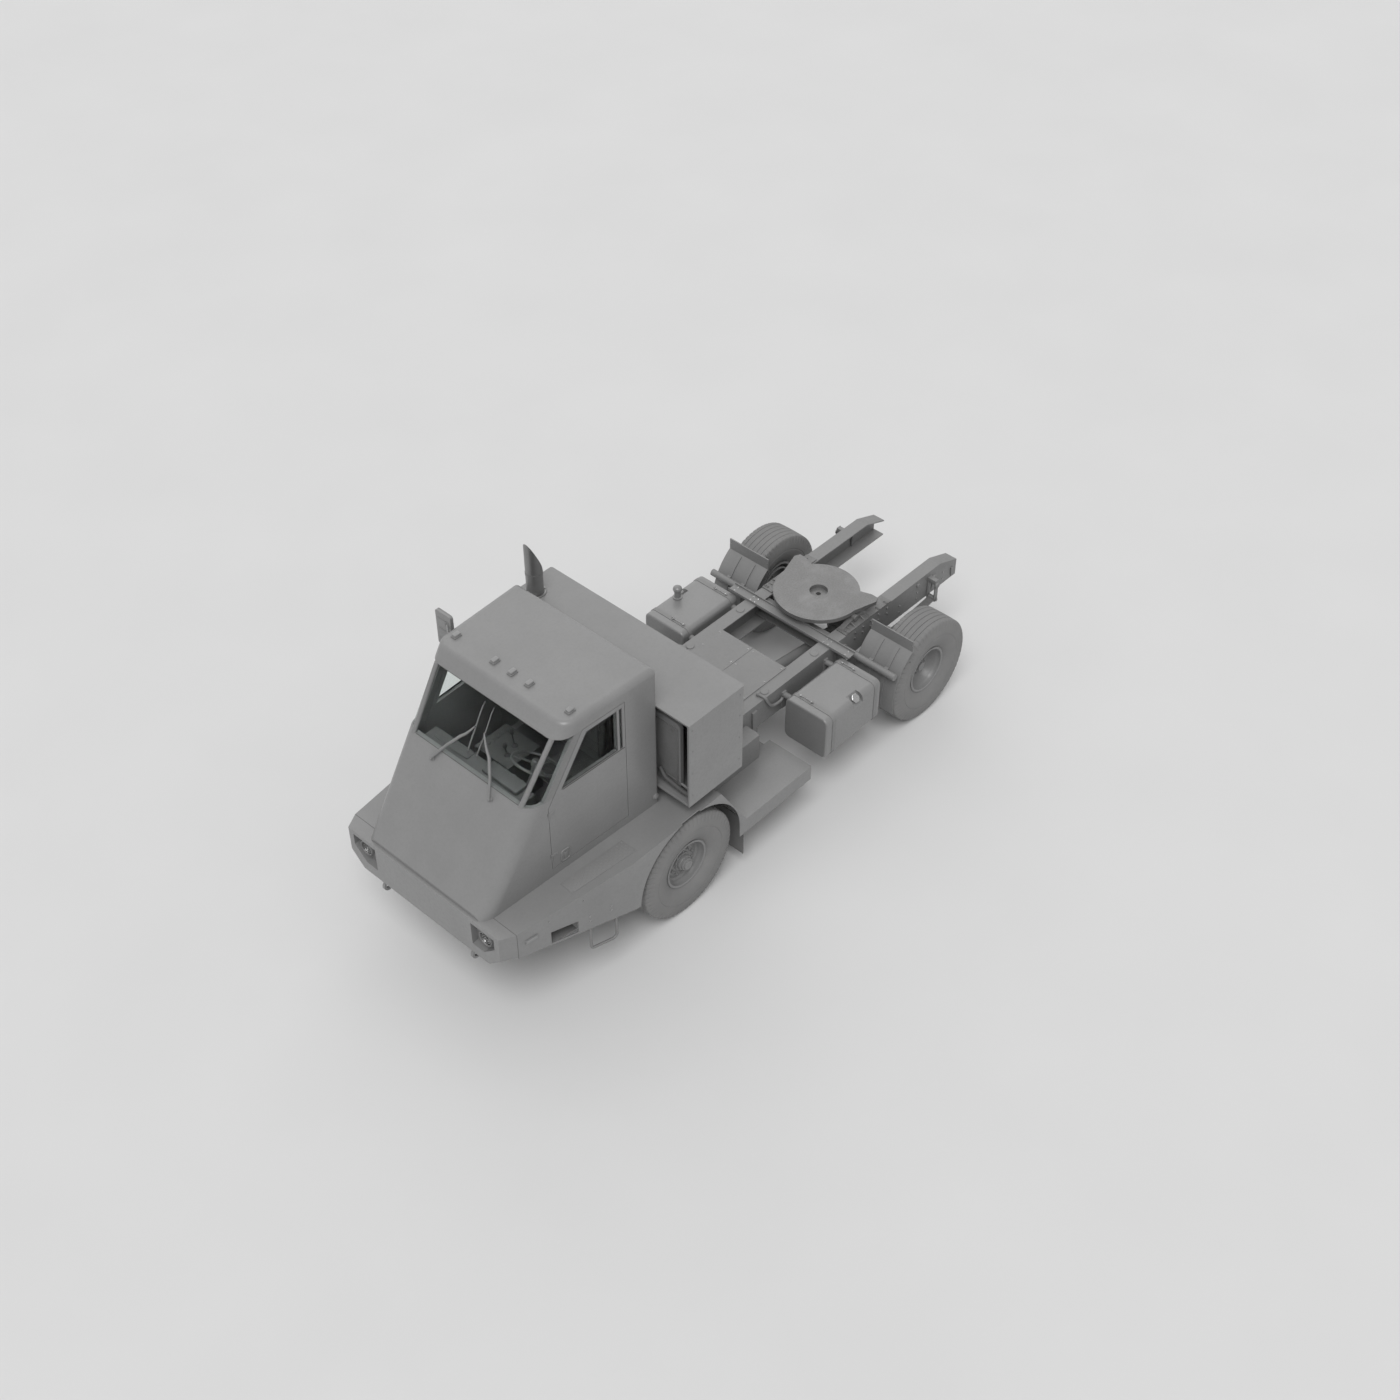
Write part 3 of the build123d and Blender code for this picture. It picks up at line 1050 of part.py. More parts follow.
# Straps round the tanks, with the round stubs that carry them from the rails
with BuildPart() as tank_straps:
    for x in STRAP_X:
        with BuildSketch(Plane.YZ.offset(x - STRAP_W / 2)):
            tank_outline(0)
            with BuildSketch(mode=Mode.SUBTRACT):
                tank_outline(SEAT_GAP - STRAP_T)
        extrude(amount=STRAP_W)
        cross_pin(x, (RAIL_Y, TANK_Y[0] + STRAP_T - 1), TANK_Z[1] - TANK_R - 36, 32)
        slab((x - 30, x + 30), (RAIL_Y, RAIL_Y + 20), (RAIL_BOTTOM + 20, TANK_Z[1] - TANK_R))
    mirror(about=Plane.XZ)
tank_straps.part.label = "tank_straps"
export_step(tank_straps.part, "parts/tank_straps.step")

# Cross channel over the rails, its rear lip higher in the middle
with BuildPart() as cross_channel:
    ys = (-CHANNEL_Y, CHANNEL_Y)
    slab(CHANNEL_X, ys, (RAIL_TOP, CHANNEL_TOP))
    slab((CHANNEL_X[0] + CHANNEL_T, CHANNEL_X[1] - CHANNEL_T), (-FAR, FAR), (RAIL_TOP + CHANNEL_T, CHANNEL_TOP + 1),
         mode=Mode.SUBTRACT)
    slab((CHANNEL_X[0], CHANNEL_X[0] + CHANNEL_T), (-210, 210), (RAIL_TOP, CHANNEL_MID_TOP))
cross_channel.part.label = "cross_channel"
export_step(cross_channel.part, "parts/cross_channel.step")

# Rear mudguards: the cross tubes carry a quarter guard and an upright plate over each rear tyre
GUARD_TOP_DEG = degrees(acos((GUARD_PLATE_X - REAR_AXLE_X) / GUARD_R))


def guard_band(inner, outer, y, low_deg, high_deg):
    """An arc band round the rear axle between two values of Y."""
    with BuildSketch(Plane.XZ.offset(-y[1])) as band:
        with BuildLine():
            ends = []
            for r in (inner, outer):
                angles = (low_deg, (low_deg + high_deg) / 2, high_deg)
                points = [(REAR_AXLE_X + r * cos(radians(a)), TYRE_R + r * sin(radians(a))) for a in angles]
                ThreePointArc(*points)
                ends.append((points[0], points[2]))
            Line(ends[0][0], ends[1][0])
            Line(ends[0][1], ends[1][1])
        make_face()
    extrude(band.sketch, amount=y[1] - y[0])


with BuildPart() as mudguards:
    guard_band(GUARD_R, GUARD_R + GUARD_T, GUARD_Y, GUARD_LOW_DEG, GUARD_TOP_DEG)
    for rib_y in (860, 1060):
        guard_band(GUARD_R + GUARD_T - 1, GUARD_R + GUARD_T + RIB_T, (rib_y, rib_y + RIB_W), GUARD_LOW_DEG + 3, GUARD_TOP_DEG - 2)
        slab((REAR_AXLE_X + 570, TUBE_X), (rib_y, rib_y + RIB_W), (TUBE_Z - 28, TUBE_Z - 12))
    plate_low = TYRE_R + GUARD_R * sin(radians(GUARD_TOP_DEG)) - 20
    slab((GUARD_PLATE_X - 12, GUARD_PLATE_X + 2), GUARD_Y, (plate_low, GUARD_PLATE_TOP))
    cross_pin(TUBE_X, (RAIL_Y, HALF_W), TUBE_Z, TUBE_R)
    mirror(about=Plane.XZ)
mudguards.part.label = "mudguards"
export_step(mudguards.part, "parts/mudguards.step")

# Fifth wheel base: a plate on each rail with a pedestal and the pivot pin
with BuildPart() as fifth_wheel_base:
    slab(BASE_X, (PEDESTAL_Y[0], RAIL_Y), (RAIL_TOP, RAIL_TOP + BASE_T))
    side_prism([(FIFTH_X - 190, RAIL_TOP + BASE_T), (FIFTH_X + 190, RAIL_TOP + BASE_T),
                (FIFTH_X + 60, PIVOT_Z), (FIFTH_X - 60, PIVOT_Z)], PEDESTAL_Y)
    cross_pin(FIFTH_X, PEDESTAL_Y, PIVOT_Z, 34)
    cross_pin(FIFTH_X, (LUG_Y[0] - 3, PEDESTAL_Y[1]), PIVOT_Z, PIVOT_R)
    mirror(about=Plane.XZ)
fifth_wheel_base.part.label = "fifth_wheel_base"
export_step(fifth_wheel_base.part, "parts/fifth_wheel_base.step")

# Fifth wheel: a round plate with two ears at the rear, a closed hole and the jaw under it
with BuildPart() as fifth_wheel:
    with BuildSketch(Plane.XY.offset(FIFTH_TOP - FIFTH_T)):
        with BuildLine():
            ThreePointArc((FIFTH_X, -FIFTH_FRONT_R), (FIFTH_X + FIFTH_FRONT_R, 0), (FIFTH_X, FIFTH_FRONT_R))
            Line((FIFTH_X, FIFTH_FRONT_R), (FIFTH_X, -FIFTH_FRONT_R))
        make_face()
        with Locations((FIFTH_X, 0)):
            Circle(FIFTH_REAR_R)
        for side in (1, -1):
            with BuildLine():
                Polyline((FIFTH_X + 60, side * 440), (FIFTH_X, side * FIFTH_FRONT_R), (EAR_X + 60, side * EAR_Y),
                         (EAR_X, side * (EAR_Y - 30)), (EAR_X, side * (EAR_Y - 110)),
                         (EAR_X + 40, side * 330), close=True)
            make_face()
        with Locations((FIFTH_X, 0)):
            Circle(FIFTH_HOLE_R, mode=Mode.SUBTRACT)
    extrude(amount=FIFTH_T)
    with BuildSketch(Plane.XY.offset(FIFTH_TOP - FIFTH_T - JAW_T)):
        with Locations((FIFTH_X, 0)):
            Circle(JAW_R)
            Circle(KING_BORE_R, mode=Mode.SUBTRACT)
    extrude(amount=JAW_T)
    for side in (1, -1):
        ys = (side * LUG_Y[0], side * LUG_Y[1])
        cross_pin(FIFTH_X, ys, PIVOT_Z, LUG_R)
        slab((FIFTH_X - LUG_R, FIFTH_X + LUG_R), ys, (PIVOT_Z, FIFTH_TOP - FIFTH_T))
        cross_pin(FIFTH_X, (ys[0] - side * 5, ys[1] + side * 5), PIVOT_Z, PIVOT_R + RUN_GAP, mode=Mode.SUBTRACT)
fifth_wheel.part.label = "fifth_wheel"
export_step(fifth_wheel.part, "parts/fifth_wheel.step")
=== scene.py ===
import itertools
import json
import math

import bmesh
import bpy
from mathutils import Matrix, Vector


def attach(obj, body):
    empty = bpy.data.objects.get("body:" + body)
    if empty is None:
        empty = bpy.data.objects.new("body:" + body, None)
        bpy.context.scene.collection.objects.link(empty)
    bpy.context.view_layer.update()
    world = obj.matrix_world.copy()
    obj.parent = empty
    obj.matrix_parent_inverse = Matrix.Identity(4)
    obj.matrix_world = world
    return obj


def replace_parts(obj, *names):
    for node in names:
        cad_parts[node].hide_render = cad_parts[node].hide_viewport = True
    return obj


# A terminal tractor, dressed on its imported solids. Metres; +X is the front, +Y the driver's left, +Z up.

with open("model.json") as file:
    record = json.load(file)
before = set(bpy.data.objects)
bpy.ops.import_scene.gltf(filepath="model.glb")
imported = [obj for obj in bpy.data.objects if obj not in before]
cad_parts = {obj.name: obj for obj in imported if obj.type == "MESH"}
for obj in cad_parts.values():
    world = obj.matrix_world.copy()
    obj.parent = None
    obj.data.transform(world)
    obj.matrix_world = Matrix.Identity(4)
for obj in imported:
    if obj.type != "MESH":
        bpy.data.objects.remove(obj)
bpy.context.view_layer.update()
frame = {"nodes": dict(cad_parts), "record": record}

# ---- places shared with the solids
HALF_W = 1.25
FRONT_X = 1.383
REAR_X = -2.325
TYRE_R = 0.6
TYRE_Y = 1.04
DECK_Z = 1.28
CAB_REAR_X = 1.43
CAB_REAR_Y = 0.88
CAB_TAPER = 0.0458
NOSE_X = 3.56
NOSE_Z = 1.32
SCREEN_TOP_X = 2.483
ROOF_Z = 2.955
SCREEN_SLOPE = math.atan2(ROOF_Z - NOSE_Z, NOSE_X - SCREEN_TOP_X)
SKIRT_TAPER = 0.1319
SKIRT_TAPER_X = 2.15
RAIL_FACE = 0.5752
BASE_TOP = 1.1222
STRAP_X = (-0.714, -1.372)
STACK_X = 1.03
STACK_Y = -1.087
PIVOT_Z = 1.165
FIFTH_X = -1.937
FIFTH_TOP = 1.25
FIFTH_T = 0.045
AHEAD = (1, 0, 0)
LEFT = (0, 1, 0)
UP = (0, 0, 1)


def cab_y(x):
    """Half width of the cab at x."""
    return CAB_REAR_Y - CAB_TAPER * (x - CAB_REAR_X)


def deck_y(x):
    """Half width of the deck at x."""
    return HALF_W - max(0.0, x - SKIRT_TAPER_X) * SKIRT_TAPER


def add_object(name, data):
    """A new object in the scene."""
    made = bpy.data.objects.new(name, data)
    bpy.context.scene.collection.objects.link(made)
    return made


# ---- camera, at the photograph's angle
CAM_PLACE = Vector((10.5436, 9.7401, 14.5434))
CAM_YAW = math.radians(42.465)
CAM_PITCH = math.radians(43.292)
cam_data = bpy.data.cameras.new("camera")
cam_data.lens = 50.66
cam_data.sensor_width = 36
cam_data.clip_end = 200
cam = add_object("camera", cam_data)
level = math.cos(CAM_PITCH)
back = Vector((math.cos(CAM_YAW) * level, math.sin(CAM_YAW) * level, math.sin(CAM_PITCH)))
cam.rotation_mode = "QUATERNION"
cam.location = CAM_PLACE
cam.rotation_quaternion = (-back).to_track_quat("-Z", "Y")
bpy.context.scene.camera = cam
bpy.context.scene.view_settings.view_transform = "Standard"


# ---- materials
def feed(tree, node, inputs):
    """Sets or links a node's inputs, given by name or number."""
    for key, value in inputs.items():
        if isinstance(value, bpy.types.NodeSocket):
            tree.links.new(value, node.inputs[key])
        else:
            node.inputs[key].default_value = value


def shade(tree, kind, inputs, out):
    """The output called out of a new shader node."""
    node = tree.nodes.new("ShaderNode" + kind)
    feed(tree, node, inputs)
    return node.outputs[out]


def calc(tree, operation, a, b):
    """The outcome of a Math node with two inputs."""
    node = tree.nodes.new("ShaderNodeMath")
    node.operation = operation
    feed(tree, node, {0: a, 1: b})
    return node.outputs[0]


def new_material(name):
    """A node material with only a Principled shader and its output."""
    m = bpy.data.materials.new(name)
    m.use_nodes = True
    tree = m.node_tree
    tree.nodes.clear()
    shader = tree.nodes.new("ShaderNodeBsdfPrincipled")
    feed(tree, tree.nodes.new("ShaderNodeOutputMaterial"), {"Surface": shader.outputs["BSDF"]})
    return m, tree, shader


def noise(tree, scale, detail=3.0, stretch=(1, 1, 1), rough=0.5):
    """Noise in object space."""
    place = shade(tree, "TexCoord", {}, "Object")
    place = shade(tree, "Mapping", {"Scale": stretch, "Vector": place}, "Vector")
    inputs = {"Scale": scale, "Detail": detail, "Roughness": rough, "Vector": place}
    return shade(tree, "TexNoise", inputs, "Fac")


def to_range(tree, value, low, high, start=0.3, end=0.7):
    """Maps a value to a range, with its ends clamped."""
    limits = {"From Min": start, "From Max": end, "To Min": low, "To Max": high}
    return shade(tree, "MapRange", {**limits, "Value": value}, "Result")


def mix_colours(tree, factor, a, b):
    """A mix of two greys or colours by a factor."""
    mix = tree.nodes.new("ShaderNodeMix")
    mix.data_type = "RGBA"
    a, b = [(*c, 1) if isinstance(c, tuple) else c for c in (a, b)]
    feed(tree, mix, {0: factor, 6: a, 7: b})
    return mix.outputs[2]


def bump(tree, height, strength, distance, normal=None):
    """A bump from a height, laid on an earlier normal if there is one."""
    inputs = {"Strength": strength, "Distance": distance, "Height": height}
    if normal is not None:
        inputs["Normal"] = normal
    return shade(tree, "Bump", inputs, "Normal")


def grey(value, warm=0.0):
    """A grey, a little warm or cool."""
    return (value * (1 + warm), value, value * (1 - warm))


def blotches(tree, cloud, low, high, start=0.3, end=0.7):
    """A colour that goes from one grey to another with a noise."""
    return mix_colours(tree, to_range(tree, cloud, 0, 1, start, end), low, high)


def paint(name, value, rough, coat=0.0, metal=0.0, peel=0.00025, painted_top_light=0.12, grain=900):
    """Sprayed paint: fine peel, faint cloudy wear in colour and gloss, and a painted top light that makes
    faces that look up lighter.
    """
    m, tree, shader = new_material(name)
    clouds = noise(tree, 1.7, 5, rough=0.62)
    fine = noise(tree, 38, 4)
    base = blotches(tree, clouds, grey(value * 0.93), grey(value * 1.06))
    base = mix_colours(tree, to_range(tree, fine, 0, 0.35, 0.45, 0.8), base, grey(value * 0.86))
    upward = shade(tree, "SeparateXYZ", {0: shade(tree, "NewGeometry", {}, "Normal")}, "Z")
    # painted top light: faces that look up are painted lighter, towards 1.35 times the grey
    base = mix_colours(tree, to_range(tree, upward, 0, painted_top_light, 0.5, 1.0), base, grey(value * 1.35, 0.01))
    feed(tree, shader, {"Base Color": base, "Roughness": to_range(tree, fine, rough - 0.05, rough + 0.09),
                        "Normal": bump(tree, noise(tree, grain, 2), 0.5, peel), "Metallic": metal,
                        "Coat Weight": coat, "Coat Roughness": 0.12})
    return m


def rubber(name, value, rough, cracks=0.0006):
    """Rubber: matt, with a fine grain, dusty patches and shallow scuffs."""
    m, tree, shader = new_material(name)
    patches = noise(tree, 3.5, 6, rough=0.7)
    fine = noise(tree, 120, 4)
    base = blotches(tree, patches, grey(value * 0.9), grey(value * 1.1, 0.01))
    base = mix_colours(tree, to_range(tree, fine, 0, 0.4, 0.5, 0.8), base, grey(value * 0.8))
    scuffs = bump(tree, fine, 0.35, cracks)
    feed(tree, shader, {"Base Color": base, "Roughness": to_range(tree, patches, rough - 0.06, rough + 0.08),
                        "Normal": bump(tree, noise(tree, 700, 2), 0.4, 0.0003, scuffs)})
    return m


def cast(name, value, rough, metal=0.35, lumps=0.0012):
    """Cast or rolled metal: a lumpy skin with darker pits and worn lighter patches."""
    m, tree, shader = new_material(name)
    skin = noise(tree, 60, 6, rough=0.65)
    wear = noise(tree, 6, 5, rough=0.6)
    base = blotches(tree, skin, grey(value * 0.82, 0.015), grey(value * 1.05), 0.35, 0.65)
    base = mix_colours(tree, to_range(tree, wear, 0, 0.6, 0.5, 0.75), base, grey(value * 1.2))
    feed(tree, shader, {"Base Color": base, "Roughness": to_range(tree, wear, rough + 0.1, rough - 0.08),
                        "Normal": bump(tree, skin, 0.45, lumps), "Metallic": metal})
    return m


def steel(name, value, rough):
    """Drawn or brushed steel, with streaks along one way and heat-dulled patches."""
    m, tree, shader = new_material(name)
    streaks = noise(tree, 40, 4, (1, 1, 30))
    patches = noise(tree, 5, 4)
    base = blotches(tree, streaks, grey(value * 0.9), grey(value * 1.1))
    base = mix_colours(tree, to_range(tree, patches, 0, 0.5, 0.5, 0.7), base, grey(value * 0.75, 0.02))
    feed(tree, shader, {"Base Color": base, "Roughness": to_range(tree, streaks, rough - 0.06, rough + 0.1),
                        "Normal": bump(tree, streaks, 0.2, 0.0003), "Metallic": 0.8})
    return m


def plastic(name, value, rough, grain=420, depth=0.0004):
    """Moulded plastic with a leather-like grain."""
    m, tree, shader = new_material(name)
    place = shade(tree, "TexCoord", {}, "Object")
    cells = shade(tree, "TexVoronoi", {"Scale": grain, "Vector": place}, "Distance")
    clouds = noise(tree, 9, 4)
    base = blotches(tree, clouds, grey(value * 0.92), grey(value * 1.08))
    feed(tree, shader, {"Base Color": base, "Roughness": to_range(tree, clouds, rough - 0.05, rough + 0.07),
                        "Normal": bump(tree, cells, 0.4, depth)})
    return m


def weave(name, value):
    """Woven cloth: two crossed sets of threads with slubs."""
    m, tree, shader = new_material(name)
    place = shade(tree, "TexCoord", {}, "Object")
    heights = []
    for turn in (0.0, math.pi / 2):
        turned = shade(tree, "Mapping", {"Rotation": (0, math.radians(12), turn), "Vector": place}, "Vector")
        waves = {"Scale": 260, "Distortion": 0.8, "Detail": 2, "Vector": turned}
        heights.append(shade(tree, "TexWave", waves, "Fac"))
    threads = calc(tree, "MULTIPLY", *heights)
    base = mix_colours(tree, threads, grey(value * 0.7), grey(value * 1.15))
    base = mix_colours(tree, to_range(tree, noise(tree, 14, 5), 0, 0.3), base, grey(value * 1.3, 0.01))
    feed(tree, shader, {"Base Color": base, "Normal": bump(tree, threads, 0.5, 0.0006), "Roughness": 0.85,
                        "Sheen Weight": 0.25})
    return m


def clear(name, tint, rough=0.02, dirt=0.05, ribs=0.0):
    """Clear glass, faintly dusty, with moulded ribs if asked."""
    m, tree, shader = new_material(name)
    smears = noise(tree, 5, 5, rough=0.7)
    base = mix_colours(tree, to_range(tree, smears, 0, 0.25, 0.5, 0.8), tint, (0.75, 0.75, 0.74))
    gloss = to_range(tree, smears, rough, rough + dirt, 0.45, 0.8)
    feed(tree, shader, {"Base Color": base, "Roughness": gloss, "Transmission Weight": 1.0, "IOR": 1.02})
    if ribs:
        feed(tree, shader, {"Normal": bump(tree, noise(tree, 160, 1, (0, 1, 0)), 0.6, ribs)})
    return m


BODY = paint("body_paint", 0.225, 0.38, coat=0.25)
CHASSIS = paint("chassis_paint", 0.21, 0.5, peel=0.0005, painted_top_light=0.25, grain=500)
WHEEL = paint("wheel_paint", 0.22, 0.42, coat=0.1, peel=0.0004, painted_top_light=0.1)
TANK = paint("tank_paint", 0.23, 0.33, coat=0.2, metal=0.15)
TYRE = rubber("tyre_rubber", 0.205, 0.72)
SEAL = rubber("seal_rubber", 0.09, 0.6)
FLAP = rubber("flap_rubber", 0.17, 0.7, 0.0012)
CAST = cast("cast_metal", 0.2, 0.5)
PLATE = cast("coupling_metal", 0.225, 0.42, 0.5, 0.0006)
STACK = steel("stack_steel", 0.27, 0.36)
BRIGHT = steel("bright_steel", 0.4, 0.25)
# The cab's inside is painted dark: these low greys for the dash, levers and seat are painted shade inside
# the cab.
SHADED_PLASTIC = plastic("interior_plastic", 0.13, 0.6)
SHADED_TRIM = plastic("trim_plastic_painted_shade", 0.09, 0.5, 700, 0.0002)
CLOTH = weave("seat_cloth_painted_shade", 0.12)
GLASS = clear("window_glass", (0.9, 0.93, 0.92))
LAMP = plastic("lamp_plastic", 0.27, 0.3, 260, 0.0006)
LENS = clear("lamp_lens", (0.82, 0.82, 0.82), 0.06, 0.08, 0.0006)

NODE_MATERIALS = {
    "body_paint": BODY, "chassis_paint": CHASSIS, "wheel_paint": WHEEL, "tyre_rubber": TYRE,
    "flap_rubber": FLAP, "lamp_lens": LENS, "interior_plastic": SHADED_PLASTIC, "seat_fabric": CLOTH,
    "cast_metal": CAST, "stack_steel": STACK, "tank_metal": TANK, "glass": GLASS,
}
SLOT_OF = {m.name: slot for slot, m in NODE_MATERIALS.items()}
SLOT_OF |= {SEAL.name: "tyre_rubber", LAMP.name: "lamp_lens", BRIGHT.name: "chassis_paint",
            SHADED_TRIM.name: "interior_plastic"}
for part in frame["record"]["subparts"]:
    node = frame["nodes"][part["node"]]
    chosen = PLATE if part["node"] == "fifth_wheel" else NODE_MATERIALS[part["material_slot"]]
    node.data.materials.clear()
    node.data.materials.append(chosen)


# ---- making pieces
def finish_mesh(name, verts, faces, material, body, smooth=32):
    """A mesh piece that rides on a body."""
    mesh = bpy.data.meshes.new(name)
    mesh.from_pydata([tuple(v) for v in verts], [], faces)
    mesh.validate()
    built = bmesh.new()
    built.from_mesh(mesh)
    bmesh.ops.recalc_face_normals(built, faces=built.faces)
    built.to_mesh(mesh)
    built.free()
    mesh.materials.append(material)
    piece = add_object(name, mesh)
    mesh.shade_smooth()
    mesh.set_sharp_from_angle(angle=math.radians(smooth))
    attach(piece, body)
    return piece


def block(size, edge, segments=2):
    """A bmesh box about the origin with bevelled edges."""
    built = bmesh.new()
    bmesh.ops.create_cube(built, size=1)
    bmesh.ops.scale(built, vec=size, verts=built.verts)
    bmesh.ops.bevel(built, geom=built.edges[:], offset=edge, segments=segments, profile=0.5, affect="EDGES")
    return built


def skin(rows, width, close_rows=True, close_width=True):
    """Faces between rows of points, each row width long. The last row or point may join the first."""
    faces = []
    for i in range(rows if close_rows else rows - 1):
        j = (i + 1) % rows
        for k in range(width if close_width else width - 1):
            m = (k + 1) % width
            faces.append((i * width + k, i * width + m, j * width + m, j * width + k))
    return faces


class Pile:
    """Collects simple solids in one mesh, so that like pieces are one object."""

    def __init__(self):
        self.verts = []
        self.faces = []

    def add(self, verts, faces):
        """Adds vertices and faces."""
        start = len(self.verts)
        self.verts += [Vector(v) for v in verts]
        self.faces += [tuple(i + start for i in f) for f in faces]

    def box(self, lo, hi, edge=0.002, turn=Matrix(), at=(0, 0, 0)):
        """A box with bevelled edges."""
        size = [abs(b - a) for a, b in zip(lo, hi)]
        mid = Vector([(a + b) / 2 for a, b in zip(lo, hi)])
        built = block(size, min(edge, min(size) * 0.45))
        self.take(built, Matrix.Translation(at) @ turn @ Matrix.Translation(mid))

    def take(self, built, place=Matrix()):
        """Adds a bmesh and frees it."""
        built.verts.index_update()
        self.add([place @ v.co for v in built.verts], [[v.index for v in f.verts] for f in built.faces])
        built.free()

    def ring(self, profile, frame_of, count=32, closed=True):
        """Turns a profile of (along, radius) about an axis. frame_of is (origin, axis)."""
        origin, axis = Vector(frame_of[0]), Vector(frame_of[1]).normalized()
        side = axis.orthogonal().normalized()
        other = axis.cross(side)
        verts = []
        for i in range(count):
            angle = 2 * math.pi * i / count
            out = side * math.cos(angle) + other * math.sin(angle)
            verts += [origin + axis * along + out * max(radius, 0.0) for along, radius in profile]
        self.add(verts, skin(count, len(profile), True, closed))

    def rod(self, start, end, radius, count=20, edge=0.0015):
        """A round bar with eased ends."""
        start, end = Vector(start), Vector(end)
        length = (end - start).length
        edge = min(edge, length * 0.4, radius * 0.4)
        small = radius - edge
        profile = [(0, small * 0.5), (0, small), (edge, radius), (length - edge, radius), (length, small),
                   (length, small * 0.5)]
        at = len(self.verts)
        self.ring(profile, (start, end - start), count, closed=False)
        n = len(profile)
        self.faces.append(tuple(at + i * n for i in range(count)))
        self.faces.append(tuple(at + i * n + n - 1 for i in reversed(range(count))))

    def bolt(self, place, normal, radius=0.009, height=0.007, washer=True):
        """A hexagon head on a washer, its end eased."""
        place, normal = Vector(place), Vector(normal).normalized()
        if washer:
            self.rod(place, place + normal * radius * 0.22, radius * 1.45, 16, 0.0005)
            place = place + normal * radius * 0.2
        profile = [(0, radius), (height * 0.8, radius), (height, radius * 0.8), (height, radius * 0.3)]
        at = len(self.verts)
        self.ring(profile, (place, normal), 6, closed=False)
        self.faces.append(tuple(at + i * 4 + 3 for i in range(6)))

    def bolts(self, xs, ys, zs, way, radius, height):
        """Bolts at every x, y and z."""
        for x, y, z in itertools.product(xs, ys, zs):
            self.bolt((x, y, z), way, radius, height)

    def tube(self, points, radius, count=12, bend=0.0):
        """A round bar along points, with its corners rounded by bend. radius may be one for each point."""
        path = rounded_path([Vector(p) for p in points], bend) if bend else [Vector(p) for p in points]
        side = None
        rings = []
        radii = radius if isinstance(radius, tuple) else (radius,) * len(path)
        turns = [2 * math.pi * k / count for k in range(count)]
        for i, p in enumerate(path):
            ahead = path[min(i + 1, len(path) - 1)] - path[max(i - 1, 0)]
            ahead.normalize()
            if side is None:
                side = ahead.orthogonal().normalized()
            side = (side - ahead * side.dot(ahead)).normalized()
            other = ahead.cross(side)
            rings.append([p + (side * math.cos(a) + other * math.sin(a)) * radii[i] for a in turns])
        ends = [tuple(range(count)), tuple(reversed(range((len(rings) - 1) * count, len(rings) * count)))]
        self.add([v for one in rings for v in one], skin(len(rings), count, False) + ends)

    def plate(self, outline, along, thick, edge=0.002):
        """A flat plate: its outline in space is drawn out by thick along a direction, with bevelled rims."""
        along = Vector(along).normalized()
        built = bmesh.new()
        face = built.faces.new([built.verts.new(p) for p in outline])
        grown = bmesh.ops.extrude_face_region(built, geom=[face])
        moved = [g for g in grown["geom"] if isinstance(g, bmesh.types.BMVert)]
        bmesh.ops.translate(built, vec=along * thick, verts=moved)
        bmesh.ops.recalc_face_normals(built, faces=built.faces)
        rims = [e for e in built.edges if abs((e.verts[0].co - e.verts[1].co).normalized().dot(along)) < 0.5]
        edge = min(edge, thick * 0.45)
        bmesh.ops.bevel(built, geom=rims, offset=edge, segments=2, profile=0.5, affect="EDGES")
        self.take(built)

    def flip_y(self):
        """Adds the same again, mirrored to the other side."""
        count = len(self.verts)
        self.verts += [Vector((v.x, -v.y, v.z)) for v in self.verts]
        self.faces += [tuple(i + count for i in reversed(f)) for f in self.faces[:]]

    def make(self, name, material, body="root", slot=None):
        """Turns the pile into a piece. The slot argument is not used."""
        return finish_mesh(name, self.verts, self.faces, material, body)


def rounded_path(points, bend):
    """A path whose inner corners are rounded."""
    path = [points[0]]
    for before, corner, after in zip(points, points[1:], points[2:]):
        reach_in = min(bend, (corner - before).length * 0.45)
        reach_out = min(bend, (after - corner).length * 0.45)
        start = corner + (before - corner).normalized() * reach_in
        end = corner + (after - corner).normalized() * reach_out
        for t in (0, 1 / 6, 2 / 6, 3 / 6, 4 / 6, 5 / 6, 1):
            path.append(start * (1 - t) ** 2 + corner * 2 * t * (1 - t) + end * t * t)
    path.append(points[-1])
    return path


# ---- tyres: profile rows are (across from the middle, radius), outer side first
LUGS = 60
LUG_STEPS = 8
GROOVES = (-0.118, -0.06, 0.0, 0.06, 0.118)
GROOVE_W = 0.0055
GROOVE_D = 0.009


def crown(u):
    """Radius of the tread at u across."""
    return TYRE_R - 0.004 * (u / 0.17) ** 2 - 0.0005


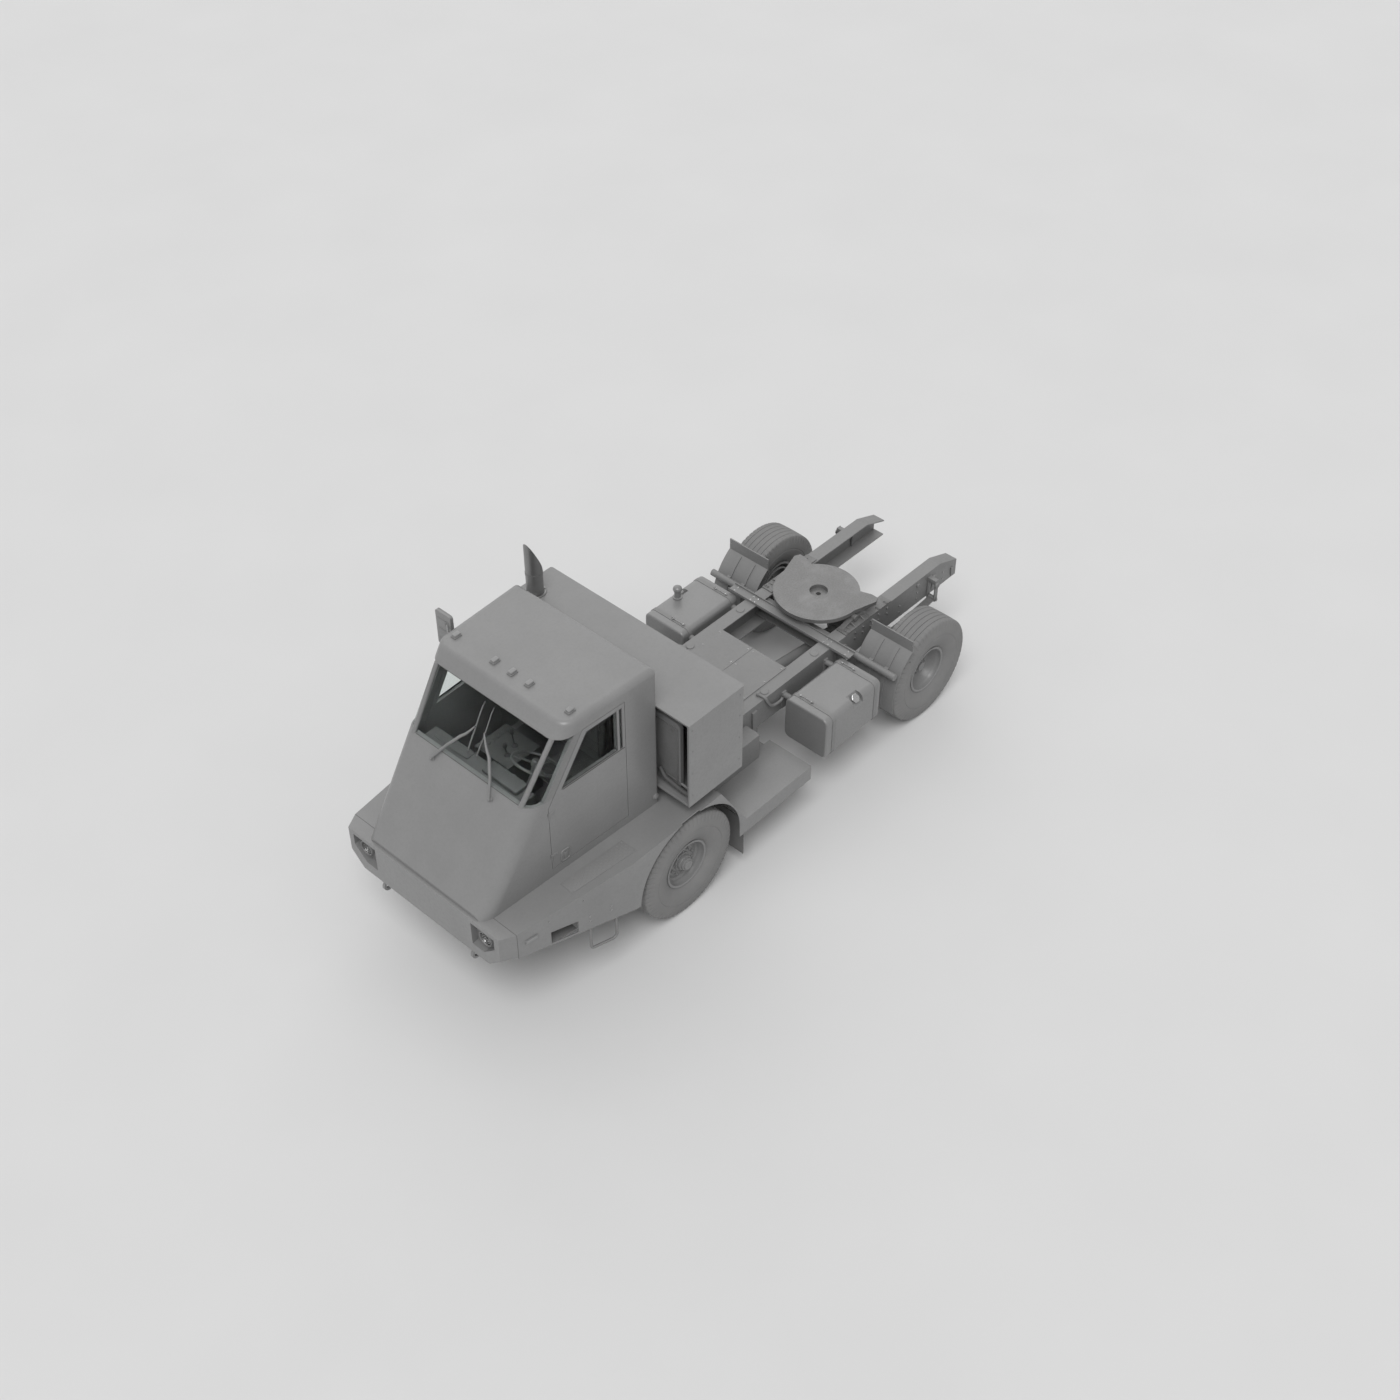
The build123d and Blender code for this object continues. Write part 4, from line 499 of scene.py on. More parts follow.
def tyre_profile():
    """One side's wall from the bead out, the tread with its grooves, and the other wall back."""
    wall = [(0.139, 0.2515), (0.1395, 0.262), (0.14, 0.272), (0.15, 0.284), (0.165, 0.305), (0.18, 0.335),
            (0.19, 0.365), (0.1965, 0.395), (0.199, 0.425), (0.1988, 0.437), (0.1955, 0.441),
            (0.1955, 0.446), (0.1985, 0.449), (0.1968, 0.475), (0.1935, 0.5), (0.189, 0.522),
            (0.185, 0.545), (0.1815, 0.562), (0.177, 0.578), (0.1705, 0.59)]
    edges = sorted([g - GROOVE_W / 2 for g in GROOVES] + [g + GROOVE_W / 2 for g in GROOVES], reverse=True)
    tread = [(0.163, crown(0.163) - 0.001), (0.15, crown(0.15))]
    for start, end in zip(edges[::2], edges[1::2]):
        # rows: edge of the groove, step across, step down
        for edge, step, down in ((start, 0.0012, 0), (start, 0, 0.0015), (start, -0.0016, GROOVE_D),
                                 (end, 0.0016, GROOVE_D), (end, 0, 0.0015), (end, -0.0012, 0)):
            tread.append((edge + step, crown(edge) - down))
    tread += [(-0.15, crown(0.15)), (-0.163, crown(0.163) - 0.001)]
    return wall + tread + [(-u, r) for u, r in reversed(wall)]


def lug_depth(u, r, phase):
    """How deep the cuts across the shoulder are at a point of the profile."""
    if r < 0.505 or abs(u) < 0.128 or phase > 1:
        return 0.0
    fade = min(1.0, (r - 0.505) / 0.035) * min(1.0, (abs(u) - 0.128) / 0.01)
    return 0.0075 * fade


def make_tyre(name, axle_x, side, body):
    """A tyre with ribs, shoulder cuts and a ring on each wall."""
    profile = tyre_profile()
    segments = LUGS * LUG_STEPS
    verts = []
    for i in range(segments):
        angle = 2 * math.pi * i / segments
        for u, r in profile:
            cut = lug_depth(u, r, i % LUG_STEPS)
            inward = cut * 0.75 if r < 0.585 else 0.0
            down = cut if r >= 0.56 else cut * 0.3
            across = u - math.copysign(inward, u)
            radius = r - down
            verts.append((axle_x + radius * math.cos(angle), side * (TYRE_Y + across),
                          TYRE_R + radius * math.sin(angle)))
    faces = skin(segments, len(profile))
    tyre = finish_mesh("tyre_" + name + "_detail", verts, faces, TYRE, body, 35)
    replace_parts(tyre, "tyre_" + name)


# ---- rims: closed sections, (across from the middle, radius)
def lip(u, r):
    """The rolled flange at one edge of a rim, from the barrel outwards and back in."""
    s = math.copysign(1, u)
    return [(u, r - 0.0003), (u + s * 0.0006, r + 0.012), (u + s * 0.004, r + 0.0175),
            (u + s * 0.009, r + 0.0165), (u + s * 0.0125, r + 0.011), (u + s * 0.0115, r - 0.002),
            (u + s * 0.006, r - 0.009)]


# Sections of the disc and the hub as (from the disc, radius), with the studs' radius and circle
DEEP_DISC = [(0.012, 0.052), (0.012, 0.172), (0.02, 0.186), (0.03, 0.194), (0.06, 0.206), (0.105, 0.2235),
             (0.105, 0.2255), (0.056, 0.21), (0.02, 0.2), (0.006, 0.19), (-0.002, 0.172), (-0.002, 0.052)]
DEEP_HUB = [(0.01, 0.1), (0.03, 0.1), (0.034, 0.096), (0.036, 0.084), (0.058, 0.082), (0.062, 0.078),
            (0.064, 0.062), (0.078, 0.06), (0.082, 0.055), (0.083, 0.0), (0.01, 0.0)]
FRONT_DISC = [(0.014, 0.037), (0.014, 0.168), (0.01, 0.178), (0.002, 0.19), (0.0, 0.206), (0.008, 0.216),
              (0.02, 0.2235), (0.02, 0.2255), (-0.004, 0.219), (-0.012, 0.206), (-0.012, 0.186),
              (-0.002, 0.172), (0.002, 0.162), (0.002, 0.037)]
FRONT_HUB = [(0.012, 0.1), (0.03, 0.099), (0.034, 0.095), (0.035, 0.084), (0.062, 0.082), (0.068, 0.078),
             (0.07, 0.068), (0.092, 0.066), (0.096, 0.062), (0.097, 0.052), (0.112, 0.05), (0.116, 0.045),
             (0.1165, 0.034), (0.1135, 0.03), (0.1135, 0.0), (0.012, 0.0)]
DRUM = [(-0.006, 0.06), (-0.006, 0.196), (-0.012, 0.2), (-0.1, 0.2), (-0.112, 0.204), (-0.13, 0.204),
        (-0.13, 0.188), (-0.02, 0.186), (-0.016, 0.06)]
BARREL = [(0.118, 0.249), (0.1, 0.24), (0.085, 0.233), (-0.085, 0.233), (-0.1, 0.24), (-0.118, 0.249)]
FRONT_WHEEL = (FRONT_X, 0.06, FRONT_DISC, FRONT_HUB, 0.0125, 0.14)
REAR_WHEEL = (REAR_X, -0.02, DEEP_DISC, DEEP_HUB, 0.0115, 0.135)


def make_rim(name, side, body, axle_x, disc, disc_section, hub_section, stud_r, circle):
    """A steel rim: rolled flanges, dropped barrel, disc, hub, studs and nuts."""
    pile = Pile()
    out = Vector((0, side, 0))
    centre = ((axle_x, side * TYRE_Y, TYRE_R), out)
    under = [(u, r - 0.009) for u, r in BARREL]
    pile.ring(lip(0.1403, 0.2497)[::-1] + BARREL + lip(-0.1403, 0.2497) + under[::-1], centre, 96)
    for section, count, closed in ((disc_section, 96, True), (hub_section, 48, False), (DRUM, 64, True)):
        pile.ring([(disc + u, r) for u, r in section], centre, count, closed)

    def on_disc(angle, radius, lift):
        """A point on the disc's face."""
        return Vector((axle_x + radius * math.cos(angle), side * (TYRE_Y + disc + lift),
                       TYRE_R + radius * math.sin(angle)))

    for i in range(10):
        place = on_disc(2 * math.pi * (i + 0.5) / 10, circle, 0.013)
        pile.rod(place, place + out * 0.005, stud_r * 1.55, 20)
        pile.bolt(place + out * 0.004, out, stud_r * 1.25, 0.017, washer=False)
        pile.rod(place + out * 0.02, place + out * 0.033, stud_r * 0.72, 14)
    stem = on_disc(0.3, 0.2, 0.004)
    pile.rod(stem, stem + out * 0.045, 0.0045, 12)
    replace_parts(pile.make("rim_" + name + "_detail", WHEEL, body), "rim_" + name)


for name, side, wheel in (("fl", 1, FRONT_WHEEL), ("fr", -1, FRONT_WHEEL), ("rl", 1, REAR_WHEEL),
                          ("rr", -1, REAR_WHEEL)):
    make_tyre(name, wheel[0], side, "wheel_" + name)
    make_rim(name, side, "wheel_" + name, *wheel)


# ---- lamps: headlamps in the bumper's pockets, side markers on the skirts and five on the roof
SKIRT_TURN = math.atan(SKIRT_TAPER)
LAMP_Z = 1.12
bezels, bowls, covers, bulbs, markers, marker_bases = [Pile() for _ in range(6)]
for side in (1, -1):
    back = ((3.5253, side * 0.8, LAMP_Z), AHEAD)
    bezels.ring([(0, 0.0815), (0.044, 0.0815), (0.05, 0.079), (0.0515, 0.0745), (0.05, 0.071),
                 (0.042, 0.069), (0, 0.069)], back, 48)
    bowls.ring([(0.041, 0.0688), (0.024, 0.0625), (0.01, 0.047), (0.004, 0.02), (0.003, 0.0)],
               back, 48, False)
    covers.ring([(0.0415, 0.0688), (0.046, 0.052), (0.0488, 0.028), (0.0497, 0.0), (0.0467, 0.0),
                 (0.0458, 0.028), (0.043, 0.052), (0.0385, 0.0688)], back, 48)
    bulbs.ring([(0.003, 0.016), (0.014, 0.016), (0.016, 0.009), (0.03, 0.008), (0.034, 0.004), (0.035, 0.0)],
               back, 24, False)
    for turn in (90, 210, 330):
        a = math.radians(turn)
        place = (3.576, side * 0.8 + 0.0765 * math.cos(a), LAMP_Z + 0.0765 * math.sin(a))
        bezels.bolt(place, AHEAD, 0.0035, 0.002)
    lean = Matrix.Rotation(-side * SKIRT_TURN, 4, "Z")
    at = (3.3, side * (deck_y(3.3) + 0.008), 1.122)
    marker_bases.box((-0.07, side * -0.0073, -0.023), (0.07, side * -0.0005, 0.023), 0.003, lean, at)
    markers.box((-0.062, side * -0.0008, -0.0165), (0.062, side * 0.0073, 0.0165), 0.004, lean, at)
for y in (-0.72, -0.222, 0.0, 0.214, 0.712):
    marker_bases.box((2.276, y - 0.031, ROOF_Z + 0.0005), (2.364, y + 0.031, ROOF_Z + 0.012), 0.004)
    markers.box((2.283, y - 0.025, ROOF_Z + 0.011), (2.357, y + 0.025, ROOF_Z + 0.0355), 0.009)
bezels.make("headlamp_bezels", CHASSIS)
bowls.make("headlamp_bowls", STACK)
covers.make("headlamp_lenses", LENS)
bulbs.make("headlamp_bulbs", LAMP)
marker_bases.make("marker_bases", CHASSIS)
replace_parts(markers.make("marker_lenses", LAMP), "lamps")

# ---- deck: tread plates, seams, skirt bolts, stirrup plates and flap bars
treads, seams, skirt_bolts, flap_bars = Pile(), Pile(), Pile(), Pile()
TREAD_OUT = ((2.773, 1.091), (2.016, 1.158))
TREAD_IN = ((2.77, 0.933), (2.02, 0.968))
DIAMOND = ((-1, 0), (0, -1), (1, 0), (0, 1))


def tread_y(edge, x):
    """Y of a long edge of the tread plate at x."""
    (x0, y0), (x1, y1) = edge
    return y0 + (x - x0) * (y1 - y0) / (x1 - x0)


treads.plate([(x, y, DECK_Z + 0.0003) for x, y in (*TREAD_OUT, *TREAD_IN[::-1])], UP, 0.0045, 0.0015)
for row in range(24):
    for column in range(6):
        x = 2.042 + row * 0.0306
        low, high = tread_y(TREAD_IN, x) + 0.016, tread_y(TREAD_OUT, x) - 0.016
        y = low + (high - low) * (column + 0.5) / 6
        turn = 1 if (row + column) % 2 else -1
        along = Vector((math.cos(0.78), turn * math.sin(0.78), 0))
        across = Vector((-along.y, along.x, 0))
        mid = Vector((x, y, DECK_Z + 0.0044))
        base = [mid + along * a * 0.012 + across * b * 0.004 for a, b in DIAMOND]
        top = [mid + along * a * 0.008 + across * b * 0.002 + Vector((0, 0, 0.0016)) for a, b in DIAMOND]
        treads.add(base + top, [(4, 5, 6, 7)] + [(k, (k + 1) % 4, (k + 1) % 4 + 4, k + 4) for k in range(4)])
for x, edge in ((2.755, -0.014), (2.04, -0.014), (2.755, 0.016), (2.04, 0.016)):
    y = (tread_y(TREAD_OUT, x) if edge < 0 else tread_y(TREAD_IN, x)) + edge
    treads.bolt((x, y, DECK_Z + 0.0046), UP, 0.006, 0.003)
seam = ((0.69, DECK_Z), (1.0765, DECK_Z), (1.0795, 1.2765), (1.0795, 0.972))
seams.tube([(3.446, y, z) for y, z in seam], 0.0022, 6)
for x, z in ((2.422, 0.853), (2.663, 0.886)):
    for step in (0, 0.055):
        skirt_bolts.bolt((x, deck_y(x) + 0.0002, z + step), (SKIRT_TAPER, 1, 0), 0.009, 0.006)
for x in (2.35, 2.645):
    y = deck_y(x) - 0.012
    skirt_bolts.box((x - 0.03, y - 0.0325, 0.79), (x + 0.03, y - 0.0295, 0.865), 0.001)
for x, z in ((3.1, 1.2), (2.72, 1.2)):
    skirt_bolts.bolt((x, deck_y(x) + 0.0002, z), LEFT, 0.008, 0.005)
flap_bars.box((0.6065, 0.852, 0.6), (0.6215, 1.236, 0.645), 0.003)
flap_bars.bolts((0.6066,), (0.9, 1.0, 1.1, 1.2), (0.6225,), (-1, 0, 0), 0.008, 0.006)
for pile in (treads, seams, skirt_bolts, flap_bars):
    pile.flip_y()
treads.make("tread_plates", CHASSIS)
seams.make("bumper_seams", SEAL)
skirt_bolts.make("skirt_bolts", BRIGHT)
flap_bars.make("flap_bars", CHASSIS)

# ---- cab outside: gaskets, door handles, hinge leaves and round side lamps
WINDOW = ((1.912, 2.282), (2.574, 2.282), (2.264, 2.753), (1.912, 2.753))
HANDLE_X = 2.588
HANDLE_Z = 1.455
QUARTER = ((1.852, 2.282), (1.883, 2.282), (1.883, 2.753), (1.852, 2.753))


def cab_point(x, z, out, side):
    """A point on the cab's side, moved out."""
    return Vector((x, side * (cab_y(x) + out), z))


def ring_of(points):
    """A closed run through points, from the middle of the first edge."""
    points = [Vector(p) for p in points]
    start = (points[0] + points[1]) / 2
    return [start, *points[1:], points[0], start]


for side, name in ((1, "l"), (-1, "r")):
    gasket = Pile()
    for outline in (WINDOW, QUARTER):
        gasket.tube(ring_of([cab_point(x, z, -0.006, side) for x, z in outline]), 0.0055, 8, 0.02)
    gasket.tube([cab_point(1.83, 2.268, 0.001, side), cab_point(2.57, 2.268, 0.001, side)], 0.004, 8)
    gasket.make("window_gaskets_" + name, SEAL, "door_" + name)
    handle = Pile()
    rim = [cab_point(HANDLE_X + a, HANDLE_Z + b, 0.001, side)
           for a, b in ((-0.052, -0.062), (0.052, -0.062), (0.052, 0.062), (-0.052, 0.062))]
    handle.tube(ring_of(rim), 0.008, 10, 0.03)
    # rows: half length, lower and upper z from the middle, inner and outer y from the cab's side, edge
    for half, low, high, y0, y1, edge in ((0.046, -0.056, 0.056, -0.002, 0.0025, 0.001),
                                          (0.018, -0.042, 0.03, 0.002, 0.009, 0.005)):
        handle.box((HANDLE_X - half, side * (cab_y(HANDLE_X) + y0), HANDLE_Z + low),
                   (HANDLE_X + half, side * (cab_y(HANDLE_X) + y1), HANDLE_Z + high), edge)
    lock = [cab_point(HANDLE_X, HANDLE_Z + 0.042, out, side) for out in (0.001, 0.006)]
    handle.rod(*lock, 0.009, 16)
    handle.make("door_handle_" + name, CHASSIS, "door_" + name, "interior_plastic")
    hinge = Pile()
    for z in (1.52, 2.05):
        hinge.box((2.672, side * (cab_y(2.7) - 0.001), z + 0.003),
                  (2.7385, side * (cab_y(2.7) + 0.004), z + 0.037), 0.001)
        for x in (2.685, 2.71):
            hinge.bolt(cab_point(x, z + 0.02, 0.0035, side), (0, side, 0), 0.005, 0.003)
    hinge.make("hinge_leaves_" + name, BODY, "door_" + name)
round_lamps, lamp_domes = Pile(), Pile()
for side in (1, -1):
    place = (cab_point(1.472, 1.374, -0.001, side), (0, side, 0))
    round_lamps.ring([(0, 0.036), (0.01, 0.036), (0.014, 0.033), (0.014, 0.027), (0.006, 0.026), (0, 0.026)],
                     place, 32)
    lamp_domes.ring([(0.005, 0.0262), (0.012, 0.023), (0.016, 0.014), (0.017, 0.0)], place, 32, False)
round_lamps.make("side_lamp_rings", CHASSIS)
lamp_domes.make("side_lamp_domes", LAMP)

# ---- the sloped front: seals round the panes and the two wipers
SCREEN_UP = Vector((-math.cos(SCREEN_SLOPE), 0, math.sin(SCREEN_SLOPE)))
SCREEN_OUT = Vector((math.sin(SCREEN_SLOPE), 0, math.cos(SCREEN_SLOPE)))


def on_screen(across, up, out):
    """A point at a distance across, up along and out from the sloped front."""
    return Vector((NOSE_X, across, NOSE_Z)) + SCREEN_UP * up + SCREEN_OUT * out


screen_seals = Pile()
for up, wide in ((1.104, 0.66), (1.781, 0.69)):
    screen_seals.tube([on_screen(-wide, up, -0.011), on_screen(wide, up, -0.011)], 0.006, 8)
screen_seals.make("screen_seals", SEAL)

# rows: pivot, points of the arm, top and foot of the blade, each as (across, up)
WIPERS = [((0.378, 1.008), ((0.362, 1.06), (0.312, 1.18), (0.225, 1.335), (0.155, 1.4), (0.08, 1.5)),
           (0.062, 1.742), (0.079, 1.249)),
          ((-0.372, 1.008), ((-0.345, 1.06), (-0.255, 1.21), (-0.15, 1.352), (-0.1, 1.405), (-0.044, 1.5)),
           (-0.055, 1.742), (-0.03, 1.244))]
THICK = (0.01, 0.012, 0.014, 0.0155, 0.012, 0.0075, 0.0065)
arms, blades = Pile(), Pile()
for pivot, points, top, foot in WIPERS:
    arms.ring([(0, 0.022), (0.01, 0.022), (0.014, 0.017), (0.036, 0.016), (0.044, 0.013), (0.047, 0.007),
               (0.0475, 0.0)], (on_screen(*pivot, 0.0006), SCREEN_OUT), 24, False)
    path = [on_screen(*pivot, 0.034)] + [on_screen(a, u, 0.037) for a, u in points]
    arms.tube(path, THICK, 12)
    arms.rod(on_screen(*points[2], 0.02), on_screen(*points[2], 0.05), 0.0085, 16)
    middle = on_screen(*points[-1], 0.022)
    arms.rod(on_screen(*points[-1], 0.016), on_screen(*points[-1], 0.043), 0.007, 14)
    high, low = on_screen(*top, 0.014), on_screen(*foot, 0.014)
    blades.tube([high, low], 0.0045, 8)
    blades.tube([high + SCREEN_OUT * -0.006, low + SCREEN_OUT * -0.006], 0.0022, 6)
    run = (high - low).normalized()
    lift = SCREEN_OUT * 0.01
    spine = [low + run * 0.03, low + run * 0.04 + lift, middle, high - run * 0.04 + lift, high - run * 0.03]
    arms.tube(spine, 0.0045, 8, 0.03)
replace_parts(arms.make("wiper_arms", CHASSIS), "wipers")
blades.make("wiper_blades", SEAL)

# ---- mirror on the right door: a glass in a rim, a ribbed back and arm clamps
mirror, mirror_glass = Pile(), Pile()
corners = [(2.1995, y, z) for y, z in ((-1.097, 2.603), (-0.903, 2.603), (-0.903, 2.997), (-1.097, 2.997))]
mirror.tube(ring_of(corners), 0.0065, 8, 0.03)
for z in (2.68, 2.8, 2.92):
    mirror.box((2.229, -1.075, z - 0.006), (2.2345, -0.925, z + 0.006), 0.002)
for z in (2.64, 2.9):
    mirror.rod((2.226, -0.96, z - 0.026), (2.226, -0.96, z + 0.026), 0.0135, 16)
    mirror.bolt((2.2385, -0.96, z), AHEAD, 0.007, 0.005)
mirror_glass.box((2.196, -1.088, 2.612), (2.1998, -0.912, 2.988), 0.0015)
mirror.make("mirror_fittings", CHASSIS, "door_r")
mirror_glass.make("mirror_glass", BRIGHT, "door_r", "glass")


# ---- housing: bolts, mouth flange, radiator core and hoses, and the stack's clamps and bolts
shell, core, hoses = Pile(), Pile(), Pile()
shell.bolts((0.72, 1.36), (1.2452,), (1.56, 1.84, 2.12, 2.38), LEFT, 0.007, 0.004)
for z in (1.4482, 2.4436):
    shell.box((1.38, 0.0, z - 0.0025), (1.4045, 1.226, z + 0.0025), 0.001)
shell.box((1.38, 1.222, 1.449), (1.4045, 1.2285, 2.443), 0.001)
for i in range(90):
    y = 0.011 + i * 0.0112
    core.box((1.3095, y, 1.56), (1.3125, y + 0.0035, 2.2), 0.0005)
for z in (1.552, 2.206):
    core.box((1.3095, 0, z - 0.008), (1.317, 1.02, z + 0.008), 0.003)
core.box((1.3095, 1.012, 1.552), (1.317, 1.026, 2.206), 0.003)
core.bolt((1.3102, 0.955, 2.16), AHEAD, 0.012, 0.006)
hoses.tube([(1.32, 0.8, 1.6), (1.345, 0.88, 1.545), (1.345, 1.12, 1.505), (1.33, 1.21, 1.5)],
           0.022, 16, 0.05)
for y in (0.9, 1.1):
    hoses.ring([(-0.007, 0.0235), (0.007, 0.0235), (0.007, 0.026), (-0.007, 0.026)],
               ((1.345, y, 1.545 - (y - 0.88) * 0.1667), (0, 1, -0.1667)), 20)
for pile in (shell, core, hoses):
    pile.flip_y()
shell.make("housing_fittings", BODY)
core.make("radiator_core", CAST, slot="chassis_paint")
hoses.make("radiator_hoses", SEAL)
stack = Pile()
for z in (2.49, 2.7):
    stack.ring([(-0.012, 0.0842), (0.012, 0.0842), (0.012, 0.0872), (-0.012, 0.0872)],
               ((STACK_X, STACK_Y, z), UP), 40)
    stack.box((STACK_X - 0.01, STACK_Y - 0.104, z - 0.011),
              (STACK_X + 0.01, STACK_Y - 0.084, z + 0.011), 0.003)
    stack.bolt((STACK_X + 0.01, STACK_Y - 0.096, z), AHEAD, 0.005, 0.004)
for i in range(6):
    a = math.pi * (i + 0.5) / 3
    stack.bolt((STACK_X + 0.097 * math.cos(a), STACK_Y + 0.097 * math.sin(a), 2.476), UP, 0.007, 0.006)
stack.make("stack_clamps", STACK)

# ---- tanks: slanted caps, a mushroom filler on the right tank, and the straps' bolts
slant = ((-1.085, 1.1922, 1.0462), (0, 1, 1))
upright = ((-1.005, -1.15, 1.0852), UP)
caps, necks, straps = Pile(), Pile(), Pile()
caps.ring([(0.0005, 0.047), (0.003, 0.052), (0.022, 0.052), (0.0258, 0.047), (0.026, 0.0)], slant, 6, False)
necks.ring([(-0.014, 0.05), (-0.01, 0.05), (-0.008, 0.042), (-0.001, 0.042), (-0.001, 0.03), (-0.014, 0.03)],
           slant, 40)
for pile in (caps, necks):
    pile.flip_y()
necks.ring([(0, 0.052), (0.006, 0.052), (0.01, 0.0365), (0.092, 0.0355), (0.102, 0.038), (0.104, 0.03),
            (0, 0.03)], upright, 40)
necks.ring([(0.104, 0.036), (0.1, 0.0485), (0.106, 0.05), (0.114, 0.0495), (0.13, 0.044), (0.141, 0.031),
           (0.1465, 0.014), (0.148, 0.0)], upright, 40, False)
necks.rod((-0.966, -1.15, 1.193), (-0.952, -1.15, 1.193), 0.008, 12)
for x in STRAP_X:
    for y in (0.8, 0.94):
        straps.box((x - 0.014, y - 0.007, 1.0895), (x + 0.014, y + 0.007, 1.101), 0.002)
    straps.rod((x, 0.775, 1.0965), (x, 0.965, 1.0965), 0.0045, 12)
    straps.bolt((x, 0.9472, 1.0965), LEFT, 0.009, 0.008)
straps.flip_y()
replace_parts(caps.make("tank_cap_lids", BRIGHT, slot="tank_metal"), "tank_caps")
necks.make("tank_necks", TANK)
straps.make("strap_fittings", BRIGHT)

# ---- rear frame: bosses, hook pipes and collars on the rails, and the frame's bolts
bosses, pipes, rail_bolts = Pile(), Pile(), Pile()
BOSS = [(0, 0.045), (0.006, 0.045), (0.01, 0.041), (0.0105, 0.0)]
SMALL_BOSS = [(0, 0.024), (0.014, 0.024), (0.018, 0.02), (0.0185, 0.0)]
# rows: place, direction, how much longer and wider than a boss
for place, way, longer, wider in (((-1.273, 0.505, 1.1098), UP, 1, 1), ((-0.5, 0.505, 1.1098), UP, 1, 1),
                                  ((-3.188, 0.5748, 0.975), LEFT, 2.2, 0.95),
                                  ((-3.188, 0.5608, 1.005), (0, -1, 0), 1, 1),
                                  ((-3.105, 0.6852, 0.985), LEFT, 1.4, 0.8)):
    bosses.ring([(a * longer, r * wider) for a, r in BOSS], (place, way), 40, False)
bosses.ring(SMALL_BOSS, ((-2.905, 0.5748, 1.045), LEFT), 28, False)
bosses.rod((-3.188, 0.547, 0.815), (-3.188, 0.547, 0.985), 0.014, 16)
# rows: thickness, edge, corners as (x, z)
for thick, edge, corners in ((0.012, 0.003, ((-3.15, 0.985), (-3.222, 0.985), (-3.232, 0.83), (-3.19, 0.8),
                                             (-3.15, 0.84))),
                             (0.014, 0.004, ((-3.49, 0.935), (-3.53, 0.93), (-3.535, 0.83),
                                             (-3.505, 0.815)))):
    bosses.plate([(x, 0.5755, z) for x, z in corners], LEFT, thick, edge)
pipes.tube([(-0.415, 0.5, 1.126), (-0.425, 0.588, 1.126), (-0.45, 0.6, 1.04), (-0.51, 0.606, 0.965),
            (-0.64, 0.606, 0.95), (-0.668, 0.606, 0.979)], 0.0165, 14, 0.05)
pipes.rod((-0.415, 0.48, 1.126), (-0.415, 0.506, 1.126), 0.021, 20)
# rows: x, y and z places, direction, radius, height
for row in (((-1.85, -1.98, -2.11, -2.24, -2.38), (RAIL_FACE,), (1.06, 0.985), LEFT, 0.012, 0.009),
            ((-2.6, -2.9, -3.36), (RAIL_FACE,), (0.86, 0.95), LEFT, 0.009, 0.006),
            ((-1.52, -1.46), (0.47, 0.53, 0.755), (1.1182,), UP, 0.009, 0.006),
            ((0.36, 0.05, -0.28, -0.6, -0.86), (0.418, 0.03), (1.1202,), UP, 0.007, 0.004),
            ((-1.9438,), (0.72, 1.235), (0.98, 1.1, 1.21), AHEAD, 0.007, 0.004)):
    rail_bolts.bolts(*row)
pipes.ring([(0, 0.05), (0.01, 0.05), (0.014, 0.046), (0.014, 0.0385), (0, 0.0385)],
           ((-1.668, RAIL_FACE, 0.965), LEFT), 36)
for pile in (bosses, pipes, rail_bolts):
    pile.flip_y()
bosses.make("rail_bosses", CHASSIS)
pipes.make("hook_pipes", CHASSIS)
rail_bolts.make("rail_bolts", BRIGHT)

# ---- springs: U-bolts with their plates, and eye bolts
clips = Pile()
# rows: x, y, underside of the axle, top of the pack's plate, half length and half width of the U-bolts
for x, y, low, high, long, wide in ((FRONT_X, 0.501, 0.5, 0.708, 0.056, 0.067),
                                    (REAR_X, 0.64, 0.525, 0.773, 0.086, 0.067)):
    for step in (-long, long):
        loop = [(x + step, y - wide, low - 0.04), (x + step, y - wide, high + 0.01),
                (x + step, y + wide, high + 0.01), (x + step, y + wide, low - 0.04)]
        clips.tube(loop, 0.009, 10, 0.03)
        for across in (-wide, wide):
            clips.bolt((x + step, y + across, low - 0.018), (0, 0, -1), 0.014, 0.014)
    clips.box((x - long - 0.016, y - wide - 0.016, low - 0.018),
              (x + long + 0.016, y + wide + 0.016, low - 0.002), 0.004)
for x, y, z, reach in ((FRONT_X, 0.501, 0.732, 0.58), (REAR_X, 0.64, 0.787, 0.78)):
    clips.bolts((x - reach, x + reach), (y + 0.0455,), (z,), LEFT, 0.018, 0.012)
clips.flip_y()
clips.make("spring_clips", CAST)

# ---- fifth wheel: pin caps, pedestal ribs and bolts, jaw lever
pedestals, jaw = Pile(), Pile()
pedestals.bolts((-2.38, -2.25, -2.1, -1.74), (0.53, 0.56), (BASE_TOP,), UP, 0.011, 0.009)
for step in (-0.14, -0.075, 0.075, 0.14):
    top = 1.159 - (abs(step) - 0.06) * 0.33
    rib = ((0.5003, 1.1223), (0.5003, top), (0.512, top), (0.572, 1.1223))
    pedestals.plate([(FIFTH_X + step - 0.006, y, z) for y, z in rib], AHEAD, 0.012, 0.002)
pedestals.ring([(0, 0.033), (0.012, 0.033), (0.016, 0.029), (0.0165, 0.0)],
               ((FIFTH_X, 0.5002, PIVOT_Z), LEFT), 32, False)
pedestals.flip_y()
pedestals.make("pedestal_fittings", CAST)
UNDER = FIFTH_TOP - FIFTH_T
jaw_plate = ((-0.12, 0.13), (-0.12, -0.13), (-0.33, -0.09), (-0.33, 0.09))
jaw.plate([(FIFTH_X + x, y, UNDER - 0.012) for x, y in jaw_plate], (0, 0, -1), 0.018, 0.003)
